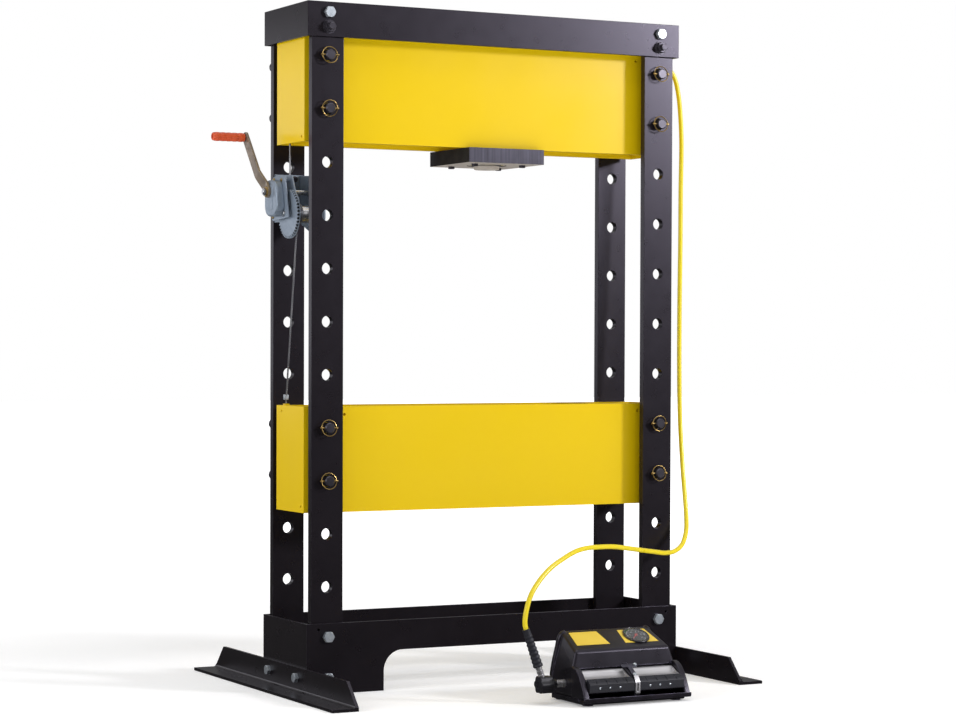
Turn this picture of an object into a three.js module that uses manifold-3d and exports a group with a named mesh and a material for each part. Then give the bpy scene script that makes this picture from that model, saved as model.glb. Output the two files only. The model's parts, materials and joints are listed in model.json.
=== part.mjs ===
// H-frame workshop press with a foot-operated air-driven hydraulic pump, its hose and a hand winch.
// Millimetres, +Z up, front towards -Y. The press is modelled about its own centre on the floor, and
// the whole group is then shifted so that the origin is the middle of the footprint, on the floor.
import * as THREE from 'three';
import { mergeVertices } from 'three/addons/utils/BufferGeometryUtils.js';
import { ConvexGeometry } from 'three/addons/geometries/ConvexGeometry.js';
import Module from 'manifold-3d';

const wasm = await Module();
wasm.setup();

// ---- driving dimensions ----
const GAP = 0.3; // between pieces that touch
const HEIGHT = 1830;
const FOOTPRINT = { x: [-713, 646], y: [-674, 475] }; // crank grip to right foot, pump lip to foot end
const FRAME_X = 572.2; // half length of the top and base frames
const FRAME_Y = 146.5; // half depth
const FRAME_PLATE = 7.7;
const TOP_FRAME_BOTTOM = 1737.6;
const BASE_TOP = 187.7;
const ARCH_X = 346.4;
const ARCH_Z = 107.6;
const ARCH_RADIUS = 55;

const COLUMN_X = 510.6; // centre line of every column and pin
const COLUMN_WIDTH = 92;
const COLUMN_THICK = 20.6;
const COLUMN_OUTER_Y = FRAME_Y - FRAME_PLATE - GAP;
const COLUMN_INNER_Y = COLUMN_OUTER_Y - COLUMN_THICK;
const HOLE_TOP_Z = 1689.6;
const HOLE_PITCH = 140.6;
const HOLE_COUNT = 11;
const HOLE_RADIUS = 15.5;

const PIN_RADIUS = 14;
const PIN_FRONT_Y = -160;
const PIN_REAR_Y = 227;
const RING_Y = -152;
const RING_RADIUS = 21.5;
const RING_WIRE = 1.6;
const CROSS_PIN_HALF = 27;
const CROSS_PIN_RADIUS = 2.2;
const PIN_ROWS = { upper_high: 0, upper_low: 1, lower_high: 7, lower_low: 8 }; // hole numbers from the top

const BOLSTER_X = 557.7;
const BOLSTER_Y = 91.2;
const BOLSTER_PLATE = 20;
const BOLSTER_END = 8;
const BOLSTER_HEIGHT = 283.5;
const UPPER_BOLSTER_Z = 1465.1;
const LOWER_BOLSTER_Z = 477.6;

const CYLINDER_X = 36;
const MOUNT_SIZE = [233, 240, 41];
const MOUNT_TOP = UPPER_BOLSTER_Z - GAP;
const CYLINDER_RADIUS = 63.5;
const COLLAR_RADIUS = 55.5;
const CYLINDER_TOP = 1705;
const BORE_RADIUS = 43;
const GLAND_HEIGHT = 14;
const RAM_RADIUS = 39.8;
const RAM_TOP = 1684;
const SADDLE_RADIUS = 35.5;
const HOSE_PORT_Z = 1660;

const HOSE_RADIUS = 6.5;
const GROMMET = { y: -60, z: 1722, radius: 12 };

const FOOT_LENGTH = 950;
const FOOT_HEIGHT = 70;
const FOOT_WIDTH = 73.5;
const FOOT_THICK = 8;
const FOOT_CHAMFER = 58;

const CABLE_RADIUS = 2.5;
const CABLE_X = 545;
const SHEAVE = { x: 517, z: 1736, radius: 31, groove: 22, width: 12, left_y: 30, right_y: -40 };
const SHEAVE_CABLE = 27.8; // radius of the cable's centre line round a sheave
const DRUM_Y = 7;
const DRUM_Z = 1276;
const DRUM_CORE = 23;
const LEFT_CABLE_BOTTOM = { y: 57, z: 766.3 };
const RIGHT_CABLE_BOTTOM = { y: SHEAVE.right_y, z: 766.3 };

// ---- materials ----
function paint(color, roughness, metalness) {
  return new THREE.MeshStandardMaterial({ color, roughness, metalness });
}
const BLACK = () => paint(0x232028, 0.45, 0.1);
const YELLOW = () => paint(0xf2cf2b, 0.35, 0.0);
const STEEL = () => paint(0x9a9ca0, 0.35, 0.9);
const DARK_STEEL = () => paint(0x3c3b40, 0.5, 0.6);
const ZINC = () => paint(0x9fb0c4, 0.4, 0.5);
const BRASS = () => paint(0xc8a85a, 0.35, 0.8);
const RUBBER = () => paint(0x1c1b1f, 0.8, 0.0);
const PLASTIC = () => paint(0x1e1c20, 0.5, 0.0);
const SILVER = () => paint(0xd0d0d2, 0.3, 0.8);

// ---- solids ----
const AXES = {
  x: new THREE.Matrix4().makeBasis(
    new THREE.Vector3(0, 1, 0), new THREE.Vector3(0, 0, 1), new THREE.Vector3(1, 0, 0)),
  y: new THREE.Matrix4().makeBasis(
    new THREE.Vector3(1, 0, 0), new THREE.Vector3(0, 0, 1), new THREE.Vector3(0, -1, 0)),
  z: new THREE.Matrix4(),
};

function box(x, y, z) {
  const geometry = new THREE.BoxGeometry(x[1] - x[0], y[1] - y[0], z[1] - z[0]);
  return geometry.translate((x[0] + x[1]) / 2, (y[0] + y[1]) / 2, (z[0] + z[1]) / 2);
}

// An outline in the plane square to the axis: (y, z) for x, (x, z) for y and (x, y) for z.
function prism(outline, axis, from, to, curveSegments = 6) {
  const shape = outline instanceof THREE.Shape
    ? outline : new THREE.Shape(outline.map(([a, b]) => new THREE.Vector2(a, b)));
  const geometry = new THREE.ExtrudeGeometry(shape, { depth: to - from, bevelEnabled: false, curveSegments });
  geometry.translate(0, 0, axis === 'y' ? -to : from);
  return geometry.applyMatrix4(AXES[axis]);
}

// A round bar along an axis, centred on the two other coordinates.
function rod(axis, radius, from, to, centre, sides = 20) {
  const geometry = new THREE.CylinderGeometry(radius, radius, to - from, sides);
  geometry.translate(0, (from + to) / 2, 0);
  if (axis === 'x') geometry.rotateZ(-Math.PI / 2);
  if (axis === 'z') geometry.rotateX(Math.PI / 2);
  const [a, b] = centre;
  const place = { x: [0, a, b], y: [a, 0, b], z: [a, b, 0] }[axis];
  return geometry.translate(...place);
}

// A round bar between two points.
function bar(start, end, radius, sides = 12) {
  const a = new THREE.Vector3(...start);
  const b = new THREE.Vector3(...end);
  const direction = b.clone().sub(a);
  const geometry = new THREE.CylinderGeometry(radius, radius, direction.length(), sides);
  const turn = new THREE.Quaternion().setFromUnitVectors(
    new THREE.Vector3(0, 1, 0), direction.clone().normalize());
  const middle = a.add(b).multiplyScalar(0.5);
  return geometry.applyQuaternion(turn).translate(middle.x, middle.y, middle.z);
}

// A turned piece: a closed profile of [radius, height], turned about +Z.
function turned(profile, sides = 24) {
  const points = profile.map(([radius, height]) => new THREE.Vector2(radius, height));
  if (profile[0][0] > 0) points.push(points[0].clone());
  return new THREE.LatheGeometry(points, sides).rotateX(Math.PI / 2);
}

function tube(points, radius, sides, steps) {
  const path = new THREE.CatmullRomCurve3(points.map((p) => new THREE.Vector3(...p)), false, 'centripetal');
  const section = new THREE.Shape();
  section.absarc(0, 0, radius, 0, 2 * Math.PI, false);
  return new THREE.ExtrudeGeometry(section, { steps, extrudePath: path, curveSegments: sides / 2 });
}

function toSolid(geometry) {
  const bare = geometry.clone();
  bare.deleteAttribute('normal');
  bare.deleteAttribute('uv');
  const merged = mergeVertices(bare, 1e-4);
  return new wasm.Manifold(new wasm.Mesh({
    numProp: 3,
    vertProperties: new Float32Array(merged.attributes.position.array),
    triVerts: new Uint32Array(merged.index.array),
  }));
}

function toGeometry(solid) {
  const mesh = solid.getMesh();
  const geometry = new THREE.BufferGeometry();
  geometry.setAttribute('position', new THREE.BufferAttribute(mesh.vertProperties, 3));
  geometry.setIndex(new THREE.BufferAttribute(mesh.triVerts, 1));
  geometry.computeVertexNormals();
  return geometry;
}

// The joined pieces, less the cutters.
function carve(pieces, cutters = []) {
  let solid = toSolid(pieces[0]);
  for (const piece of pieces.slice(1)) solid = solid.add(toSolid(piece));
  for (const cutter of cutters) solid = solid.subtract(toSolid(cutter));
  return toGeometry(solid);
}

function add(parent, name, geometry, material) {
  const mesh = new THREE.Mesh(geometry, material);
  mesh.name = name;
  parent.add(mesh);
  return mesh;
}

const SIDES = { left: -1, right: 1 };
const ENDS = { front: -1, rear: 1 };
const holeZ = (number) => HOLE_TOP_Z - number * HOLE_PITCH;

// A hexagon bolt head standing out from a face at y, towards the given side.
function hexAlongY(x, z, faceY, side, radius, height) {
  const from = side < 0 ? faceY - height : faceY;
  return rod('y', radius, from, from + height, [x, z], 6);
}

// ---- frame ----
function columns(parent) {
  for (const [side, sx] of Object.entries(SIDES)) {
    for (const [end, sy] of Object.entries(ENDS)) {
      const x = [sx * COLUMN_X - COLUMN_WIDTH / 2, sx * COLUMN_X + COLUMN_WIDTH / 2];
      const y = [sy * COLUMN_INNER_Y, sy * COLUMN_OUTER_Y].sort((a, b) => a - b);
      const holes = Array.from({ length: HOLE_COUNT }, (_, number) =>
        rod('y', HOLE_RADIUS, y[0] - 1, y[1] + 1, [sx * COLUMN_X, holeZ(number)], 12));
      add(parent, `column_${end}_${side}`, carve([box(x, y, [12, HEIGHT - 8])], holes), BLACK());
    }
  }
}

const BOLT_ROWS = {
  top: [{ z: 1802, radius: 15, height: 11 }, { z: 1764, radius: 15, height: 24 }],
  base: [{ z: 152, radius: 15, height: 11 }, { z: 42, radius: 15, height: 11 }],
};

function frameBolts(rows) {
  return rows.flatMap(({ z, radius, height }) =>
    [-COLUMN_X, COLUMN_X].flatMap((x) =>
      [-1, 1].map((side) => hexAlongY(x, z, side * (FRAME_Y - 1), side, radius, height + 1))));
}

function frames(parent) {
  const innerX = FRAME_X - FRAME_PLATE;
  const innerY = FRAME_Y - FRAME_PLATE;
  const inside = (z0, z1) => box([-innerX, innerX], [-innerY, innerY], [z0, z1]);
  const outer = (z0, z1) => box([-FRAME_X, FRAME_X], [-FRAME_Y, FRAME_Y], [z0, z1]);
  add(parent, 'top_frame', carve(
    [carve([outer(TOP_FRAME_BOTTOM, HEIGHT)], [inside(TOP_FRAME_BOTTOM - 1, HEIGHT + 1)]),
      ...frameBolts(BOLT_ROWS.top)]), BLACK());

  const arch = new THREE.Shape();
  arch.moveTo(-ARCH_X, -1);
  arch.lineTo(-ARCH_X, ARCH_Z - ARCH_RADIUS);
  arch.absarc(-ARCH_X + ARCH_RADIUS, ARCH_Z - ARCH_RADIUS, ARCH_RADIUS, Math.PI, Math.PI / 2, true);
  arch.absarc(ARCH_X - ARCH_RADIUS, ARCH_Z - ARCH_RADIUS, ARCH_RADIUS, Math.PI / 2, 0, true);
  arch.lineTo(ARCH_X, -1);
  add(parent, 'base_frame', carve(
    [carve([outer(0, BASE_TOP)], [inside(-1, BASE_TOP + 1), prism(arch, 'y', -FRAME_Y - 1, FRAME_Y + 1)]),
      ...frameBolts(BOLT_ROWS.base)]), BLACK());
}

function feet(parent) {
  const half = FOOT_LENGTH / 2;
  const upright = [[-half, 0], [half, 0], [half, FOOT_THICK + 2], [half - FOOT_CHAMFER, FOOT_HEIGHT],
    [-half + FOOT_CHAMFER, FOOT_HEIGHT], [-half, FOOT_THICK + 2]];
  for (const [side, sx] of Object.entries(SIDES)) {
    const span = (from, to) => [sx * from, sx * to].sort((a, b) => a - b);
    const inner = FRAME_X + GAP;
    const flange = box(span(inner, inner + FOOT_WIDTH), [-half, half], [0, FOOT_THICK]);
    const bolts = [-99, 87].map((y) =>
      rod('x', 13, ...span(inner + FOOT_THICK - 1, inner + FOOT_THICK + 10), [y, 42], 6));
    add(parent, `foot_${side}`,
      carve([prism(upright, 'x', ...span(inner, inner + FOOT_THICK)), flange, ...bolts]), BLACK());
  }
}

// ---- bolsters ----
function bolsterShell(bottom) {
  const top = bottom + BOLSTER_HEIGHT;
  const inner = box([-BOLSTER_X + BOLSTER_END, BOLSTER_X - BOLSTER_END],
    [-BOLSTER_Y + BOLSTER_PLATE, BOLSTER_Y - BOLSTER_PLATE], [bottom - 1, top + 1]);
  return carve([box([-BOLSTER_X, BOLSTER_X], [-BOLSTER_Y, BOLSTER_Y], [bottom, top])], [inner]);
}

function bolsters(parent) {
  const through = [-BOLSTER_Y - 1, BOLSTER_Y + 1];
  const upperCuts = [-COLUMN_X, COLUMN_X].flatMap((x) => [
    rod('y', HOLE_RADIUS, ...through, [x, holeZ(PIN_ROWS.upper_high)], 12),
    rod('y', HOLE_RADIUS, ...through, [x, holeZ(PIN_ROWS.upper_low)], 12),
    rod('y', 6.8, ...through, [Math.sign(x) * SHEAVE.x, SHEAVE.z], 10),
  ]);
  upperCuts.push(rod('x', GROMMET.radius + GAP, BOLSTER_X - 12, BOLSTER_X + 1, [GROMMET.y, GROMMET.z], 16));
  add(parent, 'upper_bolster', carve([bolsterShell(UPPER_BOLSTER_Z)], upperCuts), YELLOW());

  // The lower bolster sits on its upper pair of pins in slots that are open below, so it lifts off them.
  const slotTop = holeZ(PIN_ROWS.lower_high) - HOLE_RADIUS + PIN_RADIUS + 2 * GAP;
  const slots = [-COLUMN_X, COLUMN_X].flatMap((x) => [
    rod('y', HOLE_RADIUS, ...through, [x, slotTop], 16),
    box([x - HOLE_RADIUS, x + HOLE_RADIUS], through, [LOWER_BOLSTER_Z - 1, slotTop]),
  ]);
  const lug = (side, y) => box(
    [side * BOLSTER_X - side * 20, side * BOLSTER_X - side * (BOLSTER_END - 1)].sort((a, b) => a - b),
    [y - 8, y + 8], [735, LEFT_CABLE_BOTTOM.z - 3 * GAP]);
  add(parent, 'lower_bolster', carve([bolsterShell(LOWER_BOLSTER_Z), lug(-1, LEFT_CABLE_BOTTOM.y),
    lug(1, RIGHT_CABLE_BOTTOM.y)], slots), YELLOW());
}

function pins(parent) {
  for (const [row, number] of Object.entries(PIN_ROWS)) {
    for (const [side, sx] of Object.entries(SIDES)) {
      const centre = [sx * COLUMN_X, holeZ(number)];
      const crossHole = rod(
        'x', CROSS_PIN_RADIUS + GAP, centre[0] - 30, centre[0] + 30, [RING_Y, centre[1]], 8);
      add(parent, `pin_${row}_${side}`,
        carve([rod('y', PIN_RADIUS, PIN_FRONT_Y, PIN_REAR_Y, centre, 14)], [crossHole]), DARK_STEEL());
      const ring = new THREE.TorusGeometry(RING_RADIUS, RING_WIRE, 5, 14).rotateX(Math.PI / 2);
      ring.translate(centre[0], RING_Y, centre[1]);
      const crossX = [centre[0] - CROSS_PIN_HALF, centre[0] + CROSS_PIN_HALF];
      const cross = rod('x', CROSS_PIN_RADIUS, ...crossX, [RING_Y, centre[1]], 8);
      add(parent, `ring_clip_${row}_${side}`, carve([ring, cross]), BRASS());
    }
  }
}

// ---- cylinder ----
function cylinder(parent) {
  const [length, depth, thick] = MOUNT_SIZE;
  const bottom = MOUNT_TOP - thick;
  const at = [CYLINDER_X, 0];
  const heads = [-1, 1].flatMap((sx) => [-1, 1].map((sy) =>
    rod('z', 9, bottom - 7, bottom + 1, [CYLINDER_X + sx * 74, sy * 71], 12)));
  const plateX = [CYLINDER_X - length / 2, CYLINDER_X + length / 2];
  add(parent, 'cylinder_mount_plate', carve(
    [box(plateX, [-depth / 2, depth / 2], [bottom, MOUNT_TOP]), ...heads],
    [rod('z', COLLAR_RADIUS + GAP, bottom - 1, MOUNT_TOP + 1, at, 32)]), DARK_STEEL());

  const collarBottom = bottom + 2;
  const boreTop = RAM_TOP + 4;
  add(parent, 'cylinder_body', carve(
    [rod('z', CYLINDER_RADIUS, MOUNT_TOP + GAP, CYLINDER_TOP, at, 32),
      rod('z', COLLAR_RADIUS, collarBottom, MOUNT_TOP + 2, at, 32)],
    [rod('z', BORE_RADIUS, collarBottom - 1, boreTop, at, 28),
      rod('x', 11, CYLINDER_X + 50, CYLINDER_X + 80, [0, HOSE_PORT_Z], 12)]), YELLOW());

  const ringProfile = (inner, outer, z0, z1) => [[inner, z0], [outer, z0], [outer, z1], [inner, z1]];
  add(parent, 'gland_ring', turned(ringProfile(RAM_RADIUS + GAP, BORE_RADIUS - GAP, 0, GLAND_HEIGHT), 28)
    .translate(CYLINDER_X, 0, collarBottom), STEEL());

  const ramBottom = bottom - 1;
  add(parent, 'ram', carve([rod('z', RAM_RADIUS, ramBottom, RAM_TOP, at, 28)],
    [rod('z', 12, ramBottom - 1, ramBottom + 20, at, 12)]), STEEL());
  add(parent, 'ram_saddle', carve([rod('z', SADDLE_RADIUS, ramBottom - 10, ramBottom - GAP, at, 24),
    rod('z', 11.6, ramBottom - 1, ramBottom + 18, at, 12)]), DARK_STEEL());

  const portX = CYLINDER_X + 50 + GAP;
  add(parent, 'hose_coupler', carve([rod('x', 10.6, portX, 110, [0, HOSE_PORT_Z], 12),
    rod('x', 17, 108, 160, [0, HOSE_PORT_Z], 6), rod('x', 9, 158, 190, [0, HOSE_PORT_Z], 12)]), STEEL());
}

// ---- hose: cylinder port, grommet, down outside the right-hand columns, round the front to the pump ----
const PUMP_PORT = { x: -27, y: -560, z: 50 };
const HOSE_FOOT = new THREE.Vector3(-91, PUMP_PORT.y, 66); // where the ferrule leaves the swivel
const HOSE_UP = new THREE.Vector3(-48.5, 0, 130).normalize(); // direction of the hose end
const GUARD_START = 34; // distances along the hose end
const GUARD_END = 138.8;
const alongHose = (distance) => HOSE_FOOT.clone().addScaledVector(HOSE_UP, distance);

const HOSE_ROUTE = [
  [190.5, 0, HOSE_PORT_Z], [250, -3, 1661], [340, -20, 1684], [440, -50, 1715], [500, GROMMET.y, GROMMET.z],
  [562, GROMMET.y, GROMMET.z], [588, -60, 1715.5], [606, -60, 1700.5], [616, -60, 1680], [626, -60, 1637],
  [633, -60, 1571], [636, -60, 1506], [634.5, -60, 1374], [631, -65, 1223], [625, -72, 1061],
  [617, -85, 859], [612, -98, 720], [604, -125, 589], [597, -150, 500], [592, -166, 446],
  [578, -188, 402], [551, -212, 368], [510, -240, 352], [462, -270, 350], [400, -305, 358],
  [326, -345, 369], [207, -410, 386], [149.5, -438, 389], [100, -462, 390], [52, -485, 385],
  [0, -508, 369], [-50, -526, 346], [-90, -540, 316], [-119, -551, 284], [-135, -557, 250],
  [-142, -559.5, 213],
  ...[GUARD_END - 4, 80, GUARD_START + GAP].map((distance) => alongHose(distance).toArray()),
];

function hose(parent) {
  add(parent, 'hose', tube(HOSE_ROUTE, HOSE_RADIUS, 8, 72), YELLOW());

  const grommet = [[HOSE_RADIUS + 1.2, -7], [GROMMET.radius, -7], [GROMMET.radius, 1], [16, 1], [16, 5],
    [HOSE_RADIUS + 1.2, 5]];
  add(parent, 'hose_grommet', turned(grommet, 16).rotateY(Math.PI / 2)
    .translate(BOLSTER_X - 0.5, GROMMET.y, GROMMET.z), RUBBER());

  const lean = new THREE.Quaternion().setFromUnitVectors(new THREE.Vector3(0, 0, 1), HOSE_UP);
  const bore = HOSE_RADIUS + 2;
  const guard = [[bore, GUARD_START], [11.5, GUARD_START], [11.5, GUARD_END], [bore, GUARD_END]];
  const guardMesh = add(parent, 'hose_guard', turned(guard, 14), RUBBER());
  const ferruleMesh = add(parent, 'hose_ferrule',
    turned([[0, 3.5], [7.5, 3.5], [7.5, GUARD_START - GAP], [0, GUARD_START - GAP]], 14), SILVER());
  for (const mesh of [guardMesh, ferruleMesh]) {
    mesh.quaternion.copy(lean);
    mesh.position.copy(HOSE_FOOT);
  }
  const port = [PUMP_PORT.y, PUMP_PORT.z];
  const pocket = bar(alongHose(3).toArray(), alongHose(30).toArray(), 7.5 + GAP, 14);
  add(parent, 'swivel_fitting', carve([rod('x', 21, -103, -52, port, 6)], [pocket]), DARK_STEEL());
  add(parent, 'port_nipple', rod('x', 10, -52 + GAP, -5, port, 14), SILVER());
}

// ---- winch between the left-hand columns ----
const WINCH = { left: -553, right: -477, plate: 3, rearY: COLUMN_INNER_Y - GAP };
const SHAFT_Y = 52;
const SHAFT_Z = 1336;
const AXLE_RADIUS = 8;
const DRUM_FLANGE = 40;
const GEAR = { teeth: 42, root: 61, tip: 66, from: -561.5, to: -553.5 };
const CRANK_LEAN = THREE.MathUtils.degToRad(39);
const CRANK_REACH = 197;

function gearOutline() {
  const points = [];
  const step = (2 * Math.PI) / GEAR.teeth;
  for (let tooth = 0; tooth < GEAR.teeth; tooth += 1) {
    const middle = tooth * step;
    const corners = [[GEAR.root, -0.34], [GEAR.tip, -0.16], [GEAR.tip, 0.16], [GEAR.root, 0.34]];
    for (const [radius, turn] of corners) {
      const angle = middle + turn * step; // root and tip corners as shares of one tooth pitch
      points.push([radius * Math.cos(angle), radius * Math.sin(angle)]);
    }
  }
  return points;
}

function winch(parent) {
  const { left, right, plate, rearY } = WINCH;
  const axle = [DRUM_Y, DRUM_Z];
  const shaft = [SHAFT_Y, SHAFT_Z];
  const lobeRadius = 58; // the plates' rounded fronts stay just inside the drive gear
  const lobeStart = 125;
  const sides = [[left, left + plate, 343], [right - plate, right, 300]].map(([from, to, lobeEnd]) => {
    const sidePlate = new THREE.Shape();
    sidePlate.moveTo(rearY - 1, 1258);
    sidePlate.lineTo(rearY - 1, 1386);
    sidePlate.lineTo(2, 1380);
    const [start, end] = [lobeStart, lobeEnd].map(THREE.MathUtils.degToRad);
    sidePlate.absarc(DRUM_Y, DRUM_Z, lobeRadius, start, end, false);
    return prism(sidePlate, 'x', from, to, 10);
  });
  const back = box([-554, -471], [rearY - 4, rearY], [1257, 1387]);
  const standoffs = [[79, 1269], [72, 1370], [22, 1367]].map((centre) =>
    rod('x', 4, -571 + GAP, left + 1, centre, 8));
  add(parent, 'winch_frame', carve([back, ...sides, ...standoffs],
    [rod('x', 8.5, left - 1, right + 1, axle, 16), rod('x', 7.5, left - 1, right + 1, shaft, 16)]), ZINC());

  const flange = new THREE.Shape();
  flange.moveTo(93, 1285);
  flange.lineTo(93, 1357);
  flange.quadraticCurveTo(92, 1374, 72, 1378);
  flange.lineTo(-1, 1374);
  flange.lineTo(-25, 1266);
  flange.lineTo(79, 1259);
  flange.quadraticCurveTo(93, 1262, 93, 1285);
  const dome = new THREE.Shape();
  dome.moveTo(86, 1300);
  dome.lineTo(86, 1345);
  dome.quadraticCurveTo(84, 1366, 62, 1368);
  dome.lineTo(32, 1366);
  dome.quadraticCurveTo(12, 1362, 8, 1340);
  dome.lineTo(0, 1300);
  dome.quadraticCurveTo(4, 1272, 30, 1270);
  dome.lineTo(60, 1270);
  dome.quadraticCurveTo(84, 1274, 86, 1300);
  const domeRoom = rod('x', 26, -594, -570, [50, 1328], 20);
  const shaftHoles = [[7, shaft], [AXLE_RADIUS, axle]].map(([radius, centre]) =>
    rod('x', radius + GAP, -600, -560, centre, 16));
  add(parent, 'gear_cover', carve(
    [prism(flange, 'x', -574, -571), prism(dome, 'x', -597, -573)], [domeRoom, ...shaftHoles]), ZINC());

  add(parent, 'winch_drum', carve([
    rod('x', AXLE_RADIUS, -578, -473, axle, 16), rod('x', DRUM_CORE, -548.5, -484, axle, 24),
    rod('x', DRUM_FLANGE, -549.7, -547.8, axle, 24), rod('x', DRUM_FLANGE, -485, -482, axle, 24)]), STEEL());
  const gear = prism(gearOutline(), 'x', GEAR.from, GEAR.to).translate(0, DRUM_Y, DRUM_Z);
  add(parent, 'drive_gear', carve([gear], [rod('x', AXLE_RADIUS + GAP, -570, -550, axle, 16)]), ZINC());

  add(parent, 'pinion_shaft', carve([rod('x', 7, -617, -472, shaft, 16), rod('x', 8.3, -561, -554, shaft, 14),
    rod('x', 10, -616, -607 + 2 * GAP, shaft, 6)]), STEEL());
  crank(parent, shaft);
}

function crank(parent, shaft) {
  const group = new THREE.Group(); // the arm stands along the group's +Z
  group.position.set(0, shaft[0], shaft[1]);
  group.rotation.x = -CRANK_LEAN;
  parent.add(group);
  const side = [[-599, -16], [-606, -16], [-606, 22], [-617.5, 62], [-617.5, CRANK_REACH + 14],
    [-610.5, CRANK_REACH + 14], [-610.5, 63], [-599, 23]];
  const arm = prism(side, 'y', -15, 15);
  const boss = rod('x', 17, -606, -599, [0, 0], 20);
  const spindle = rod('x', 5, -700, -616, [0, CRANK_REACH], 12);
  add(group, 'crank_arm', carve([arm, boss, spindle], [rod('x', 7 + GAP, -620, -590, [0, 0], 16)]), BRASS());
  const gripProfile = [[5.3, 0], [12.3, 0], [12.3, 88], [9, 94], [0, 94], [0, 82], [5.3, 82]];
  const grip = new THREE.LatheGeometry(gripProfile.map(([r, h]) => new THREE.Vector2(r, h)).concat(
    new THREE.Vector2(5.3, 0)), 18).rotateZ(Math.PI / 2);
  add(group, 'crank_grip', grip.translate(-619, 0, CRANK_REACH), paint(0xd8481f, 0.55, 0));
}

// ---- winch cables and sheaves ----
function arcPoints(centreX, y, from, to, count) {
  return Array.from({ length: count + 1 }, (_, i) => {
    const angle = THREE.MathUtils.degToRad(from + ((to - from) * i) / count);
    return [centreX + SHEAVE_CABLE * Math.cos(angle), y, SHEAVE.z + SHEAVE_CABLE * Math.sin(angle)];
  });
}

function cables(parent) {
  const radius = DRUM_CORE + GAP + CABLE_RADIUS;
  const high = SHEAVE.z + SHEAVE_CABLE;
  const crossing = [
    [-CABLE_X, DRUM_Y + radius, DRUM_Z], [-CABLE_X, 32, 1500], [-CABLE_X, SHEAVE.left_y, 1690],
    ...arcPoints(-SHEAVE.x, SHEAVE.left_y, 180, 90, 4), [-SHEAVE.x + 40, SHEAVE.left_y - 2.7, high],
    [SHEAVE.x - 40, SHEAVE.right_y + 2.7, high], ...arcPoints(SHEAVE.x, SHEAVE.right_y, 90, 0, 4)];
  add(parent, 'cable_cross', tube(crossing, CABLE_RADIUS, 6, 66), STEEL());
  add(parent, 'cable_left', bar([-CABLE_X, DRUM_Y - radius, DRUM_Z],
    [-CABLE_X, LEFT_CABLE_BOTTOM.y, LEFT_CABLE_BOTTOM.z], CABLE_RADIUS, 8), STEEL());
  add(parent, 'cable_right', bar([SHEAVE.x + SHEAVE_CABLE, SHEAVE.right_y, SHEAVE.z - 4 * GAP],
    [SHEAVE.x + SHEAVE_CABLE, RIGHT_CABLE_BOTTOM.y, RIGHT_CABLE_BOTTOM.z], CABLE_RADIUS, 8), STEEL());

  for (const [side, sx] of Object.entries(SIDES)) {
    const y = side === 'left' ? SHEAVE.left_y : SHEAVE.right_y;
    const at = [sx * SHEAVE.x, SHEAVE.z];
    const half = SHEAVE.width / 2;
    const rims = [-half, half - 2].map((offset) =>
      rod('y', SHEAVE.radius, y + offset, y + offset + 2, at, 16));
    add(parent, `sheave_${side}`, carve([rod('y', 6, -88, 88, at, 8),
      rod('y', SHEAVE.groove, y - half, y + half, at, 14), ...rims]), DARK_STEEL());
  }
}

// ---- pump ----
const PUMP = { x: 131, frontY: -594, frontZ: 136, slope: THREE.MathUtils.degToRad(25) };
const slopeAt = (s, h) => [
  PUMP.frontY + s * Math.cos(PUMP.slope) - h * Math.sin(PUMP.slope),
  PUMP.frontZ + s * Math.sin(PUMP.slope) + h * Math.cos(PUMP.slope)];
// Either side of the divider, measured from the pump's middle.
const PEDAL_BAY = { left: [-142.5, -7], right: [8.5, 142.5] };

const LEVER = { x: PUMP.x + 1, y: -650.6, z: 73.2, slope: Math.atan2(24.4, 35.5) };
// A point on the lever's pivot axis, at a height above the lever's underside.
const leverAxis = (height) => [
  LEVER.x, LEVER.y - height * Math.sin(LEVER.slope), LEVER.z + height * Math.cos(LEVER.slope)];

function mirrored(half, y, z) {
  return [new THREE.Vector3(PUMP.x - half, y, z), new THREE.Vector3(PUMP.x + half, y, z)];
}

function pump(parent) {
  const shell = new ConvexGeometry([
    ...mirrored(142, PUMP.frontY, PUMP.frontZ), ...mirrored(130, ...slopeAt(104, 0)),
    ...mirrored(134, -484, 168), ...mirrored(156, -482, 18), ...mirrored(158, -480, 60),
    ...mirrored(156, -612, 92), ...mirrored(156, -626, 18)]);
  const post = [[-600, 96], [-612, 92], [-668, 30], [-672, 23], [-672, 18], [-600, 18]];
  const divider = [[-600, 100], [-616, 94], [-660, 60], [-665, 50], [-665, 18], [-600, 18]];
  const from = (offset) => PUMP.x + offset;
  const bays = Object.values(PEDAL_BAY).map(([a, b]) => box([from(a), from(b)], [-690, -594], [24, 91]));
  const portHole = rod('x', 10 + GAP, -60, -5 + GAP, [PUMP_PORT.y, PUMP_PORT.z], 14);
  const pivotHole = bar(leverAxis(-18), leverAxis(2), 3.5, 12);
  add(parent, 'pump_housing', carve([shell, prism(post, 'x', from(-158), from(-142.5)),
    prism(post, 'x', from(142.5), from(158)), prism(divider, 'x', from(-7), from(8.5))],
  [...bays, portHole, pivotHole]), PLASTIC());
  add(parent, 'pump_base', carve([box([from(-152), from(152)], [-656, -483], [0, 18 - GAP]),
    box([from(-161), from(161)], [-674, -640], [14, 18 - GAP]),
    box([from(-161), from(161)], [-674, -672.3], [14, 22])]), PLASTIC());
  pedals(parent, from);
  gauge(parent);
}

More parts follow.
